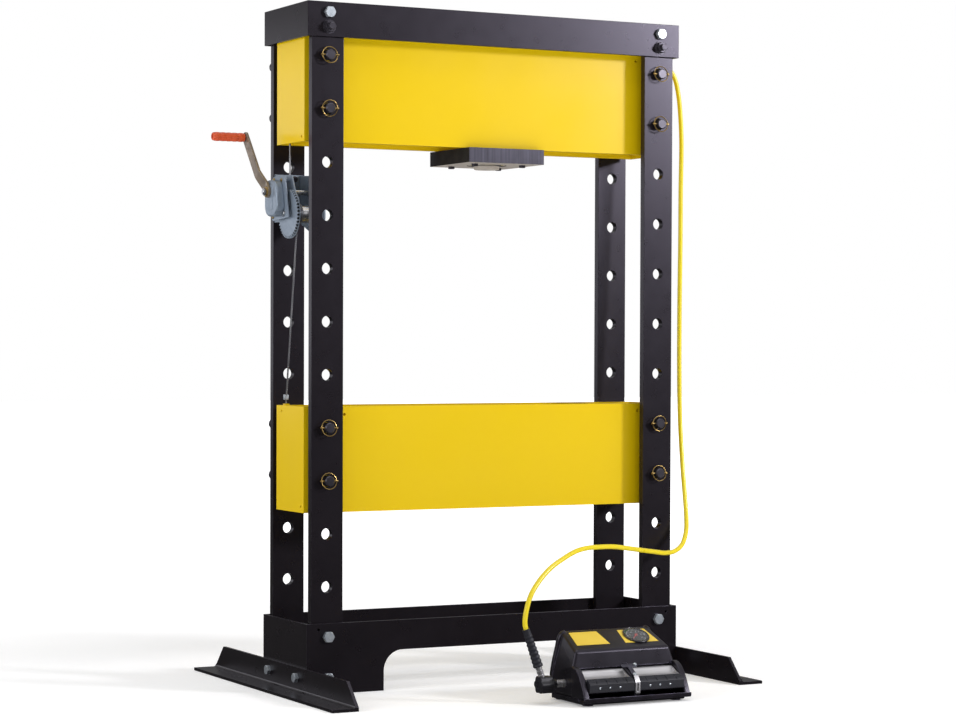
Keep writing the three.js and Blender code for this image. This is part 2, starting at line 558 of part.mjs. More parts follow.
function pedals(parent, from) {
  const plate = [[-600, 86], [-622, 87], [-648, 69.2], [-648, 58], [-600, 73]];
  const tread = [[-648 - GAP, 69.6], [-662, 62.4], [-668, 58], [-668, 34], [-660, 34], [-648 - GAP, 52]];
  for (const [side, [a, b]] of Object.entries(PEDAL_BAY)) {
    const x = [from(a) + 1, from(b) - 1];
    add(parent, `pedal_${side}`, prism(plate, 'x', ...x), SILVER());
    add(parent, `pedal_tread_${side}`, prism(tread, 'x', ...x), RUBBER());
  }
  // The locking lever lies over the divider, parallel to the pedal plates, on a pivot pin.
  const tee = [[-6, -7], [6, -7], [6, 29], [23, 29], [23, 41], [-23, 41], [-23, 29], [-6, 29]];
  const lever = carve([prism(tee, 'z', 0, 2.5), rod('z', 3, -14, 1, [0, 0], 10)]);
  const mesh = add(parent, 'lock_lever', lever, SILVER());
  mesh.position.set(LEVER.x, LEVER.y, LEVER.z);
  mesh.rotation.x = LEVER.slope;
}

function gauge(parent) {
  const group = new THREE.Group();
  const [y, z] = slopeAt(57, GAP);
  group.position.set(200.5, y, z);
  group.rotation.x = PUMP.slope;
  parent.add(group);
  const dish = [[0, 0], [36.5, 0], [36.5, 5], [32, 5], [32, 1.2], [0, 1.2]];
  add(group, 'gauge_bezel', turned(dish, 28), BLACK());
  const needle = [[-1.5, -8], [1.5, -8], [0.6, 26], [-0.6, 26]];
  const needleMesh = add(group, 'gauge_needle',
    carve([rod('z', 4.5, 1.5, 3.4, [0, 0], 12), prism(needle, 'z', 2, 2.8)]), paint(0xc42a24, 0.5, 0));
  needleMesh.rotation.z = THREE.MathUtils.degToRad(135);
  add(group, 'gauge_lens', rod('z', 31.7, 3.8, 4.8, [0, 0], 28), paint(0xe8eef2, 0.05, 0));
}

// ---- assembly ----
const object = new THREE.Group();
object.position.set(-(FOOTPRINT.x[0] + FOOTPRINT.x[1]) / 2, -(FOOTPRINT.y[0] + FOOTPRINT.y[1]) / 2, 0);
columns(object);
frames(object);
feet(object);
bolsters(object);
pins(object);
cylinder(object);
hose(object);
winch(object);
cables(object);
pump(object);
object.updateMatrixWorld(true);

export default object;
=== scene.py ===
import json
import math
import bmesh
import bpy
from mathutils import Matrix, Vector


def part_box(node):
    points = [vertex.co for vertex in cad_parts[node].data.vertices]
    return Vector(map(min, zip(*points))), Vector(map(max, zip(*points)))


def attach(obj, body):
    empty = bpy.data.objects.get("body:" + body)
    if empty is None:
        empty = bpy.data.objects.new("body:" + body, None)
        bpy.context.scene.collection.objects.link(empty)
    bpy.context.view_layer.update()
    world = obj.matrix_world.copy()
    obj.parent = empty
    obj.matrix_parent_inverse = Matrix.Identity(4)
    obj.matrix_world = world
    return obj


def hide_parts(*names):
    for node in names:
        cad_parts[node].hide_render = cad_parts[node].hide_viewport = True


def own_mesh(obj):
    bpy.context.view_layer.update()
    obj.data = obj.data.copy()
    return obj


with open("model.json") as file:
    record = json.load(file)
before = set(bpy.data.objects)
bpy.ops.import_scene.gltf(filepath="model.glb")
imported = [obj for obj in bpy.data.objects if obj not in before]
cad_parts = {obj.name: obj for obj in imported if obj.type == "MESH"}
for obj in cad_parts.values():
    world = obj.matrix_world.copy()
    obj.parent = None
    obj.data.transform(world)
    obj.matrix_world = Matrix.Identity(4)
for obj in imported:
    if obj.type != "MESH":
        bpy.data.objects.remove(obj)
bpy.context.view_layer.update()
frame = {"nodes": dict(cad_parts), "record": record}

# ---- places: millimetres from the middle of the press on the floor, as the model is designed ----
MM = 0.001
RECORD = frame["record"]
BODY_OF = {node: body for body, nodes in RECORD["behaviour"]["bodies"].items() for node in nodes}
SLOT_OF = {part["node"]: part["material_slot"] for part in RECORD["subparts"]}
BOLSTER_LOW, BOLSTER_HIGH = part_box("upper_bolster")
PRESS = Vector(((BOLSTER_LOW.x + BOLSTER_HIGH.x) / 2, (BOLSTER_LOW.y + BOLSTER_HIGH.y) / 2, 0))
SIDES = {"left": -1, "right": 1}
ENDS = {"front": -1, "rear": 1}


def at(x, y, z):
    """A design point in metres, in the row frame."""
    return PRESS + Vector((x, y, z)) * MM


# ---- camera ----
CAMERA = (-3346.6, -6435.3, 943.2)
CAMERA_YAW = 27.5646  # degrees to the right of +Y
CAMERA_PITCH = -1.1780
CAMERA_ROLL = 0.1973
LENS = 98.15  # on a 36 mm wide sensor


def make_camera():
    yaw, pitch, roll = (math.radians(a) for a in (CAMERA_YAW, CAMERA_PITCH, CAMERA_ROLL))
    ahead = Vector((math.sin(yaw) * math.cos(pitch), math.cos(yaw) * math.cos(pitch), math.sin(pitch)))
    level = Vector((math.cos(yaw), -math.sin(yaw), 0))
    upright = level.cross(ahead)
    right = level * math.cos(roll) + upright * math.sin(roll)
    up = right.cross(ahead)
    data = bpy.data.cameras.new("camera")
    data.sensor_width = 36
    data.lens = LENS
    data.shift_x = -0.0004
    data.shift_y = 0.0352
    data.clip_end = 100
    camera = bpy.data.objects.new("camera", data)
    camera.matrix_world = Matrix((
        (right.x, up.x, -ahead.x, 0),
        (right.y, up.y, -ahead.y, 0),
        (right.z, up.z, -ahead.z, 0),
        (0, 0, 0, 1)))
    camera.location = at(*CAMERA)
    bpy.context.scene.collection.objects.link(camera)
    bpy.context.scene.camera = camera


make_camera()


# ---- materials ----
def node_tree(name):
    material = bpy.data.materials.new(name)
    material.use_nodes = True
    tree = material.node_tree
    return material, tree, tree.nodes["Principled BSDF"]


def noise(tree, coords, scale, detail=3.0, stretch=None):
    if stretch:
        mapping = tree.nodes.new("ShaderNodeMapping")
        mapping.inputs["Scale"].default_value = stretch
        tree.links.new(coords, mapping.inputs["Vector"])
        coords = mapping.outputs["Vector"]
    texture = tree.nodes.new("ShaderNodeTexNoise")
    texture.inputs["Scale"].default_value = scale
    texture.inputs["Detail"].default_value = detail
    tree.links.new(coords, texture.inputs["Vector"])
    return texture.outputs["Fac"]


def ramp(tree, value, stops):
    node = tree.nodes.new("ShaderNodeValToRGB")
    for element, (position, color) in zip(node.color_ramp.elements, (stops[0], stops[-1])):
        element.position = position
        element.color = (*color, 1)
    for position, color in stops[1:-1]:
        node.color_ramp.elements.new(position).color = (*color, 1)
    tree.links.new(value, node.inputs["Fac"])
    return node.outputs["Color"]


def spread(tree, value, low, high, start=0.3, end=0.7):
    node = tree.nodes.new("ShaderNodeMapRange")
    node.inputs["From Min"].default_value = start
    node.inputs["From Max"].default_value = end
    node.inputs["To Min"].default_value = low
    node.inputs["To Max"].default_value = high
    tree.links.new(value, node.inputs["Value"])
    return node.outputs["Result"]


def mixed(tree, factor, first, second, kind="MIX"):
    node = tree.nodes.new("ShaderNodeMix")
    node.data_type = "RGBA"
    node.blend_type = kind
    tree.links.new(factor, node.inputs["Factor"])
    for value, socket in ((first, node.inputs[6]), (second, node.inputs[7])):
        if isinstance(value, tuple):
            socket.default_value = (*value, 1)
        else:
            tree.links.new(value, socket)
    return node.outputs[2]


def edges(tree, radius):
    """About 1 on an edge or corner and 0 on a flat face."""
    rounded = tree.nodes.new("ShaderNodeBevel")
    rounded.samples = 4
    rounded.inputs["Radius"].default_value = radius
    geometry = tree.nodes.new("ShaderNodeNewGeometry")
    dot = tree.nodes.new("ShaderNodeVectorMath")
    dot.operation = "DOT_PRODUCT"
    tree.links.new(rounded.outputs["Normal"], dot.inputs[0])
    tree.links.new(geometry.outputs["Normal"], dot.inputs[1])
    return spread(tree, dot.outputs["Value"], 1.0, 0.0, 0.80, 0.985)


def surface(name, color, second, rough, metallic=0.0, blotch=9.0, grain=700.0, bump=0.05, bump_size=0.0002,
            coat=0.0, specular=0.5, edge=None, edge_radius=0.0012, brushed=None, tint=(1, 1, 1)):
    """Colour that drifts between two tones, roughness that drifts between two values, a fine grain in the
    bump, and edges of another tone, broken up by noise: partly wear and partly a painted highlight
    where an edge catches the light. brushed stretches the grain along an axis, and tint colours the gloss."""
    material, tree, shader = node_tree(name)
    coords = tree.nodes.new("ShaderNodeTexCoord").outputs["Object"]
    drift = noise(tree, coords, blotch, 4.0, brushed)
    tone = ramp(tree, drift, [(0.32, color), (0.68, second)])
    fine = noise(tree, coords, grain, 3.0, brushed)
    roughness = spread(tree, noise(tree, coords, blotch * 3, 5.0), rough[0], rough[1])
    # Edges of another tone: partly wear, partly a painted highlight on the rounded edges, broken up by noise.
    if edge:
        edge_wear_and_highlight = tree.nodes.new("ShaderNodeMath")
        edge_wear_and_highlight.operation = "MULTIPLY"
        tree.links.new(edges(tree, edge_radius), edge_wear_and_highlight.inputs[0])
        tree.links.new(spread(tree, noise(tree, coords, 60.0, 4.0), 0.0, 1.0, 0.35, 0.65), edge_wear_and_highlight.inputs[1])
        tone = mixed(tree, edge_wear_and_highlight.outputs["Value"], tone, edge)
    tree.links.new(tone, shader.inputs["Base Color"])
    tree.links.new(roughness, shader.inputs["Roughness"])
    height = tree.nodes.new("ShaderNodeBump")
    height.inputs["Strength"].default_value = bump
    height.inputs["Distance"].default_value = bump_size
    tree.links.new(fine, height.inputs["Height"])
    tree.links.new(height.outputs["Normal"], shader.inputs["Normal"])
    shader.inputs["Metallic"].default_value = metallic
    shader.inputs["Coat Weight"].default_value = coat
    shader.inputs["Coat Roughness"].default_value = 0.12
    shader.inputs["Specular IOR Level"].default_value = specular
    shader.inputs["Specular Tint"].default_value = (*tint, 1)
    return material


# Edge tones lighter than their face, lilac on the blacks, are partly wear and partly a painted highlight
# where rounded edges catch the key light.
BLACK = surface("black_paint", (0.0065, 0.0050, 0.0058), (0.0080, 0.0062, 0.0072), (0.27, 0.30), bump=0.04,
                grain=900.0, specular=0.42, edge=(0.07, 0.065, 0.085), edge_radius=0.0014,
                tint=(0.84, 0.78, 1.0))
YELLOW = surface("yellow_paint", (0.690, 0.470, 0.0022), (0.706, 0.482, 0.0030), (0.21, 0.25), bump=0.04,
                 grain=500.0, blotch=2.0, specular=0.27, edge=(0.66, 0.47, 0.03), edge_radius=0.0009)
STEEL = surface("bright_steel", (0.52, 0.53, 0.55), (0.64, 0.64, 0.66), (0.2, 0.36), metallic=1.0, bump=0.15,
                grain=400.0, brushed=(1.0, 1.0, 14.0))
DARK_STEEL = surface("dark_steel", (0.05, 0.05, 0.058), (0.085, 0.083, 0.095), (0.38, 0.55), metallic=0.7,
                     bump=0.2, grain=350.0, edge=(0.22, 0.22, 0.24))
ZINC = surface("zinc_plate", (0.235, 0.285, 0.355), (0.275, 0.33, 0.405), (0.32, 0.5), metallic=0.45,
               bump=0.12, grain=300.0, blotch=45.0, edge=(0.52, 0.57, 0.64))
BOLT_ZINC = surface("bolt_zinc", (0.42, 0.47, 0.53), (0.60, 0.64, 0.68), (0.26, 0.42), metallic=0.75,
                    bump=0.1, grain=500.0, blotch=70.0, edge=(0.8, 0.82, 0.85))
BRASS = surface("brass_wire", (0.34, 0.22, 0.07), (0.46, 0.32, 0.12), (0.28, 0.42), metallic=0.9, bump=0.1,
                grain=300.0, blotch=60.0)
# yellow_zinc's pale edge tone is a painted highlight along the crank arm's edges, broken up by noise.
YELLOW_ZINC = surface("yellow_zinc", (0.19, 0.15, 0.12), (0.28, 0.225, 0.17), (0.34, 0.5), metallic=0.55,
                      bump=0.15, grain=260.0, blotch=30.0, edge=(0.78, 0.72, 0.42))
RUBBER = surface("black_rubber", (0.010, 0.010, 0.014), (0.018, 0.018, 0.026), (0.48, 0.62), bump=0.3,
                 grain=380.0, specular=0.4, edge=(0.06, 0.06, 0.08))
# black_plastic's light lilac edge tone, on a wide radius, is a painted highlight along the housing's rounded
# edges, broken up by noise.
PLASTIC = surface("black_plastic", (0.0060, 0.0052, 0.0064), (0.0100, 0.0088, 0.0115), (0.27, 0.34), bump=0.3,
                  grain=1500.0, specular=0.42, edge=(0.26, 0.24, 0.34), edge_radius=0.003,
                  tint=(0.86, 0.80, 1.0))
SILVER = surface("silver_plate", (0.52, 0.51, 0.53), (0.64, 0.63, 0.65), (0.34, 0.46), metallic=0.9, bump=0.2,
                 grain=300.0, brushed=(0.6, 12.0, 12.0))
GRIP = surface("orange_grip", (0.60, 0.075, 0.020), (0.66, 0.095, 0.026), (0.42, 0.55), bump=0.2, grain=420.0,
               blotch=30.0)
HOSE_YELLOW = surface("yellow_hose", (0.72, 0.57, 0.006), (0.77, 0.61, 0.010), (0.26, 0.38), bump=0.1,
                      grain=420.0, coat=0.15, blotch=6.0)
LABEL = surface("yellow_label", (0.74, 0.52, 0.050), (0.79, 0.57, 0.070), (0.34, 0.46), bump=0.06,
                grain=200.0)
RED = surface("red_plastic", (0.62, 0.02, 0.02), (0.7, 0.035, 0.03), (0.35, 0.45), bump=0.05)
DARK_BOLT = surface("dark_bolt", (0.012, 0.011, 0.013), (0.020, 0.018, 0.022), (0.28, 0.38), bump=0.08,
                    specular=0.6, edge=(0.16, 0.155, 0.19), tint=(0.86, 0.80, 1.0))
PIN_STEEL = surface("pin_steel", (0.055, 0.052, 0.064), (0.085, 0.080, 0.098), (0.28, 0.38), metallic=0.85,
                    bump=0.1, grain=260.0, edge=(0.16, 0.155, 0.18))
GROUND_STEEL = surface("ground_steel", (0.026, 0.024, 0.036), (0.062, 0.058, 0.083), (0.36, 0.5),
                       metallic=0.5, bump=0.5, blotch=24.0, grain=90.0, brushed=(6.0, 6.0, 0.12),
                       edge=(0.3, 0.3, 0.36))
WARM_STEEL = surface("warm_steel", (0.42, 0.37, 0.33), (0.52, 0.47, 0.42), (0.4, 0.55), metallic=0.2,
                     bump=0.2, grain=180.0, edge=(0.6, 0.56, 0.5))
ROPE = surface("wire_rope", (0.20, 0.20, 0.22), (0.32, 0.32, 0.34), (0.3, 0.45), metallic=0.9, bump=0.6,
               grain=900.0)
GAUGE_BLACK = surface("gauge_black", (0.012, 0.011, 0.014), (0.02, 0.018, 0.023), (0.2, 0.3), bump=0.05,
                      coat=0.4, edge=(0.12, 0.11, 0.14))
DIAL = surface("dial_face", (0.014, 0.014, 0.016), (0.022, 0.022, 0.024), (0.5, 0.6), bump=0.03)
MARK_WHITE = surface("mark_white", (0.72, 0.72, 0.74), (0.8, 0.8, 0.8), (0.5, 0.6), bump=0.03)
MARK_GREEN = surface("mark_green", (0.05, 0.32, 0.10), (0.07, 0.38, 0.13), (0.5, 0.6), bump=0.03)
SWIVEL = surface("swivel_black", (0.010, 0.010, 0.013), (0.020, 0.019, 0.024), (0.36, 0.5), metallic=0.3,
                 bump=0.3, grain=300.0, edge=(0.12, 0.115, 0.15), edge_radius=0.002)
# Near-black matte for painted shade: the drive gear's tooth gaps and slot, and the mount plate's left faces.
PAINTED_SHADE = surface("painted_shade_dark", (0.004, 0.004, 0.005), (0.007, 0.006, 0.008), (0.7, 0.9), bump=0.1)


def clear_glass():
    material, tree, shader = node_tree("clear_glass")
    coords = tree.nodes.new("ShaderNodeTexCoord").outputs["Object"]
    tint = ramp(tree, noise(tree, coords, 40.0), [(0.3, (0.93, 0.95, 0.97)), (0.7, (0.98, 0.99, 1.0))])
    tree.links.new(tint, shader.inputs["Base Color"])
    tree.links.new(spread(tree, noise(tree, coords, 120.0), 0.01, 0.05), shader.inputs["Roughness"])
    shader.inputs["Transmission Weight"].default_value = 1.0
    shader.inputs["IOR"].default_value = 1.45
    return material


GLASS = clear_glass()


# ---- mesh building, in design millimetres ----
PLANES = {"x": lambda a, b, d: (d, a, b), "y": lambda a, b, d: (a, d, b), "z": lambda a, b, d: (a, b, d)}


def circle(radius, centre=(0, 0), sides=48, turn=0.0):
    steps = [2 * math.pi * i / sides + turn for i in range(sides)]
    return [(centre[0] + radius * math.cos(a), centre[1] + radius * math.sin(a)) for a in steps]


def arc(radius, start, end, steps, centre=(0, 0)):
    """Points along part of a circle, from one angle to another, in degrees."""
    angles = [math.radians(start + (end - start) * i / steps) for i in range(steps + 1)]
    return [(centre[0] + radius * math.cos(a), centre[1] + radius * math.sin(a)) for a in angles]


def prism(outline, axis, start, end):
    """An outline in the plane square to the axis: (y, z) for x, (x, z) for y and (x, y) for z."""
    bm = bmesh.new()
    place = PLANES[axis]
    rings = [[bm.verts.new(place(a, b, d)) for a, b in outline] for d in (start, end)]
    count = len(outline)
    for i in range(count):
        j = (i + 1) % count
        bm.faces.new((rings[0][i], rings[0][j], rings[1][j], rings[1][i]))
    for ring in rings:
        bm.faces.new(ring)
    bmesh.ops.recalc_face_normals(bm, faces=bm.faces)
    return bm


def block(x, y, z):
    return prism([(x[0], y[0]), (x[1], y[0]), (x[1], y[1]), (x[0], y[1])], "z", *z)


def rod(axis, radius, start, end, centre, sides=48, turn=0.0):
    return prism(circle(radius, centre, sides, turn), axis, start, end)


def turned(profile, sides=64):
    """Turned about +Z from (radius, height) points: closed on the axis, or else on itself."""
    bm = bmesh.new()
    rings = []
    for radius, height in profile:
        if radius == 0:
            rings.append([bm.verts.new((0, 0, height))] * sides)
        else:
            rings.append([bm.verts.new((a, b, height)) for a, b in circle(radius, sides=sides)])
    hollow = profile[0][0] > 0
    for first, second in zip(rings, rings[1:] + ([rings[0]] if hollow else [])):
        for i in range(sides):
            j = (i + 1) % sides
            corners = list(dict.fromkeys((first[i], first[j], second[j], second[i])))
            if len(corners) > 2:
                bm.faces.new(corners)
    bmesh.ops.recalc_face_normals(bm, faces=bm.faces)
    return bm


def swept(points, radius, sides=16, closed=False):
    """A round bar along a list of points."""
    bm = bmesh.new()
    points = [Vector(p) for p in points]
    count = len(points)
    side = None
    rings = []
    for i, point in enumerate(points):
        before = points[i - 1] if closed or i else point
        after = points[(i + 1) % count] if closed or i + 1 < count else point
        along = (after - before).normalized()
        side = along.orthogonal() if side is None else side - along * side.dot(along)
        side.normalize()
        up = along.cross(side)
        rings.append([bm.verts.new(point + (side * a + up * b)) for a, b in circle(radius, sides=sides)])
    if closed:
        rings.append(rings[0])
    for first, second in zip(rings, rings[1:]):
        for i in range(sides):
            j = (i + 1) % sides
            bm.faces.new((first[i], first[j], second[j], second[i]))
    if not closed:
        bm.faces.new(rings[0])
        bm.faces.new(rings[-1])
    bmesh.ops.recalc_face_normals(bm, faces=bm.faces)
    return bm


def moved(bm, place=(0, 0, 0), turn=None):
    """The shape turned, as a quaternion or matrix says, and then moved."""
    matrix = Matrix.Translation(place) @ (turn.to_matrix().to_4x4() if turn else Matrix.Identity(4))
    bmesh.ops.transform(bm, matrix=matrix, verts=bm.verts)
    return bm


def about(axis, angle):
    """A turn about an axis, by an angle in degrees."""
    return Matrix.Rotation(math.radians(angle), 3, axis.upper()).to_quaternion()


def temporary(bm):
    mesh = bpy.data.meshes.new("temporary")
    bm.to_mesh(mesh)
    bm.free()
    obj = bpy.data.objects.new("temporary", mesh)
    bpy.context.scene.collection.objects.link(obj)
    return obj


def carve(solids, cutters=(), keep=None):
    """The joined solids, less the cutters, and only what lies inside keep if it is given."""
    steps = [(s, "UNION") for s in solids[1:]] + [(c, "DIFFERENCE") for c in cutters]
    if keep:
        steps.append((keep, "INTERSECT"))
    base = temporary(solids[0])
    tools = [(temporary(bm), operation) for bm, operation in steps]
    for tool, operation in tools:
        modifier = base.modifiers.new("carve", "BOOLEAN")
        modifier.object = tool
        modifier.operation = operation
        modifier.solver = "EXACT"
    bpy.context.view_layer.update()
    made = base.evaluated_get(bpy.context.evaluated_depsgraph_get()).to_mesh()
    bm = bmesh.new()
    bm.from_mesh(made)
    base.to_mesh_clear()
    for obj in [base] + [tool for tool, _ in tools]:
        mesh = obj.data
        bpy.data.objects.remove(obj)
        bpy.data.meshes.remove(mesh)
    bmesh.ops.remove_doubles(bm, verts=bm.verts, dist=1e-3)
    return bm


def together(shapes):
    """Separate shapes in one mesh."""
    whole = bmesh.new()
    for bm in shapes:
        mesh = bpy.data.meshes.new("temporary")
        bm.to_mesh(mesh)
        bm.free()
        whole.from_mesh(mesh)
        bpy.data.meshes.remove(mesh)
    return whole


def softened(bm, width, segments=2, angle=28.0):
    """Its sharp edges, those that turn by more than the angle, rounded over."""
    bmesh.ops.dissolve_limit(bm, angle_limit=math.radians(0.5), verts=bm.verts, edges=bm.edges)
    sharp = [e for e in bm.edges if e.is_manifold and e.calc_face_angle(0) > math.radians(angle)]
    bmesh.ops.bevel(bm, geom=sharp, offset=width, segments=segments, profile=0.5, affect="EDGES",
                    clamp_overlap=True)
    return bm


def piece(name, bm, material, body, slot, replaces=(), smooth=32.0):
    """A shape in design millimetres becomes a piece that rides on a body."""
    bmesh.ops.transform(bm, matrix=Matrix.Translation(PRESS) @ Matrix.Scale(MM, 4), verts=bm.verts)
    mesh = bpy.data.meshes.new(name)
    bm.to_mesh(mesh)
    bm.free()
    obj = bpy.data.objects.new(name, mesh)
    bpy.context.scene.collection.objects.link(obj)
    mesh.materials.append(material)
    mesh.polygons.foreach_set("use_smooth", [True] * len(mesh.polygons))
    mesh.set_sharp_from_angle(angle=math.radians(smooth))
    obj.modifiers.new("flat_faces", "WEIGHTED_NORMAL").keep_sharp = True
    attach(obj, body)
    if replaces:
        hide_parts(*replaces)
    return obj


def stand_in(node, bm, material, smooth=32.0):
    """A finer shape for one CAD node, on its body."""
    return piece(f"{node}_shape", bm, material, BODY_OF[node], SLOT_OF[node], (node,), smooth)


def repaint(obj, material, way):
    """The faces that look one way get another material."""
    obj.data.materials.append(material)
    for polygon in obj.data.polygons:
        if polygon.normal.dot(Vector(way)) > 0.9:
            polygon.material_index = len(obj.data.materials) - 1


# ---- hose ----
HOSE_RADIUS = 6.5
HOSE_FOOT = Vector((-91, -560, 66))
HOSE_UP = Vector((-48.5, 0, 130)).normalized()
GUARD_START = 34
GUARD_END = 138.8
HOSE_ROUTE = [
    (190.5, 0, 1660), (250, -3, 1661), (340, -20, 1684), (440, -50, 1715), (500, -60, 1722),
    (562, -60, 1722), (588, -60, 1715.5), (606, -60, 1700.5), (616, -60, 1680), (626, -60, 1637),
    (633, -60, 1571), (636, -60, 1506), (634.5, -60, 1374), (631, -65, 1223), (625, -72, 1061),
    (617, -85, 859), (612, -98, 720), (604, -125, 589), (597, -150, 500), (592, -166, 446),
    (578, -188, 402), (551, -212, 368), (510, -240, 352), (462, -270, 350), (400, -305, 358),
    (326, -345, 369), (207, -410, 386), (149.5, -438, 389), (100, -462, 390), (52, -485, 385),
    (0, -508, 369), (-50, -526, 346), (-90, -540, 316), (-119, -551, 284), (-135, -557, 250),
    (-142, -559.5, 213),
    *(HOSE_FOOT + HOSE_UP * distance for distance in (134.8, 80, 34.3)),
]


def through(points, steps):
    """Points along the centripetal Catmull-Rom curve through the given ones."""
    points = [Vector(p) for p in points]
    points = [points[0] * 2 - points[1], *points, points[-1] * 2 - points[-2]]
    line = []
    for p0, p1, p2, p3 in zip(points, points[1:], points[2:], points[3:]):
        t0, t1, t2 = ((b - a).length ** 0.5 for a, b in ((p0, p1), (p1, p2), (p2, p3)))
        leave = ((p1 - p0) / t0 - (p2 - p0) / (t0 + t1) + (p2 - p1) / t1) * t1
        arrive = ((p2 - p1) / t1 - (p3 - p1) / (t1 + t2) + (p3 - p2) / t2) * t1
        for t in (i / steps for i in range(steps)):
            line.append(p1 * (2 * t**3 - 3 * t**2 + 1) + leave * (t**3 - 2 * t**2 + t)
                        + p2 * (3 * t**2 - 2 * t**3) + arrive * (t**3 - t**2))
    return [*line, points[-2]]


def make_hose():
    line = through(HOSE_ROUTE, 8)
    data = bpy.data.curves.new("hose_line", "CURVE")
    data.dimensions = "3D"
    data.bevel_depth = HOSE_RADIUS * MM
    data.bevel_resolution = 6
    data.use_fill_caps = True
    spline = data.splines.new("POLY")
    spline.points.add(len(line) - 1)
    for point, place in zip(spline.points, line):
        point.co = (*at(*place), 1)
    spline.use_smooth = True
    data.materials.append(HOSE_YELLOW)
    hose = bpy.data.objects.new("hose_line", data)
    bpy.context.scene.collection.objects.link(hose)
    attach(hose, "press")
    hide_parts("hose")
    return hose, sum((b - a).length for a, b in zip(line, line[1:])) * MM


hose, hose_length = make_hose()


def along_hose(bm):
    """A shape made along +Z, put on the end of the hose."""
    return moved(bm, HOSE_FOOT, Vector((0, 0, 1)).rotation_difference(HOSE_UP))


def guard_profile():
    """A sleeve with soft ridges that widens towards the fitting."""
    outside = []
    for i in range(73):
        share = i / 72
        ridge = 0.8 * math.sin(share * 9 * 2 * math.pi) if 0.03 < share < 0.82 else 0
        outside.append((12.8 - 3.2 * share + ridge, GUARD_START + share * (GUARD_END - GUARD_START)))
    return [(7.0, GUARD_START), *outside, (6.9, GUARD_END)]


hose_guard = stand_in("hose_guard", along_hose(turned(guard_profile(), 40)), RUBBER)
hose_ferrule = stand_in("hose_ferrule", along_hose(turned(
    [(0, 3.5), (7.6, 3.5), (8.6, 4.6), (8.6, 11), (7.4, 12), (7.4, 14), (8.6, 15), (8.6, 23), (7.4, 24),
     (7.4, 26), (8.6, 27), (8.6, 33), (7.8, 33.7), (0, 33.7)], 40)), SILVER)
at(*HOSE_ROUTE[0])


# ---- bolts ----
PAST = 5  # how far a cutter runs past the face it opens


def hex_head(radius, height, washer=0.0, stud=0.0, turn=0.0):
    """A chamfered hexagon head along +Z, on a washer if one is asked for, with a stud end above it."""
    crown = turned([(0, -1), (radius * 1.02, -1), (radius * 1.02, height * 0.85), (radius * 0.85, height),
                    (0, height)], 36)
    head = softened(carve([prism(circle(radius, sides=6, turn=turn), "z", -0.5, height)], (), crown), 0.35)
    shapes = [head]
    if washer:
        shapes.append(softened(rod("z", washer, -0.2, 1.8, (0, 0)), 0.4))
    if stud:
        shapes.append(turned([(0, height - 1), (radius * 0.6, height - 1), (radius * 0.6, stud - 1.5),
                              (radius * 0.5, stud), (0, stud)], 32))
    return together(shapes)


def facing(axis, side):
    """The turn that takes +Z to an axis's plus or minus side."""
    target = {"x": Vector((side, 0, 0)), "y": Vector((0, side, 0)), "z": Vector((0, 0, side))}[axis]
    return Vector((0, 0, 1)).rotation_difference(target)


def spread_out(shape, places):
    """Copies of one shape at (place, turn) pairs."""
    copies = [moved(shape.copy(), place, turn) for place, turn in places]
    shape.free()
    return together(copies)


# ---- frame ----
GAP = 0.3
HEIGHT = 1830
FRAME_X, FRAME_Y, FRAME_PLATE = 572.2, 146.5, 7.7
TOP_FRAME_BOTTOM = 1737.6
BASE_TOP = 187.7
ARCH_X, ARCH_Z, ARCH_RADIUS = 346.4, 107.6, 55
COLUMN_X, COLUMN_WIDTH, COLUMN_THICK = 510.6, 92, 20.6
COLUMN_FACE = FRAME_Y - FRAME_PLATE - GAP
HOLE_TOP_Z, HOLE_PITCH, HOLE_COUNT, HOLE_RADIUS = 1689.6, 140.6, 11, 15.5
BOLT_ROWS = {"top_bolts": 1802, "base_bolts_high": 152, "base_bolts_low": 42}
STUD_Z = 1764
FOOT_HALF, FOOT_HEIGHT, FOOT_WIDTH, FOOT_THICK, FOOT_CHAMFER = 475, 70, 73.5, 8, 58
FOOT_FILLET = 7
FOOT_BOLT_Y, FOOT_BOLT_Z = (-99, 87), 42


def hole_z(number):
    return HOLE_TOP_Z - number * HOLE_PITCH


def span(*ends):
    return tuple(sorted(ends))


def make_columns():
    for side, sx in SIDES.items():
        for end, sy in ENDS.items():
            x = (sx * COLUMN_X - COLUMN_WIDTH / 2, sx * COLUMN_X + COLUMN_WIDTH / 2)
            y = span(sy * COLUMN_FACE, sy * (COLUMN_FACE - COLUMN_THICK))
            holes = together([rod("y", HOLE_RADIUS, y[0] - PAST, y[1] + PAST, (sx * COLUMN_X, hole_z(n)), 40)
                              for n in range(HOLE_COUNT)])
            bar = carve([block(x, y, (12, HEIGHT - 8))], [holes])
            stand_in(f"column_{end}_{side}", softened(bar, 0.9), BLACK)


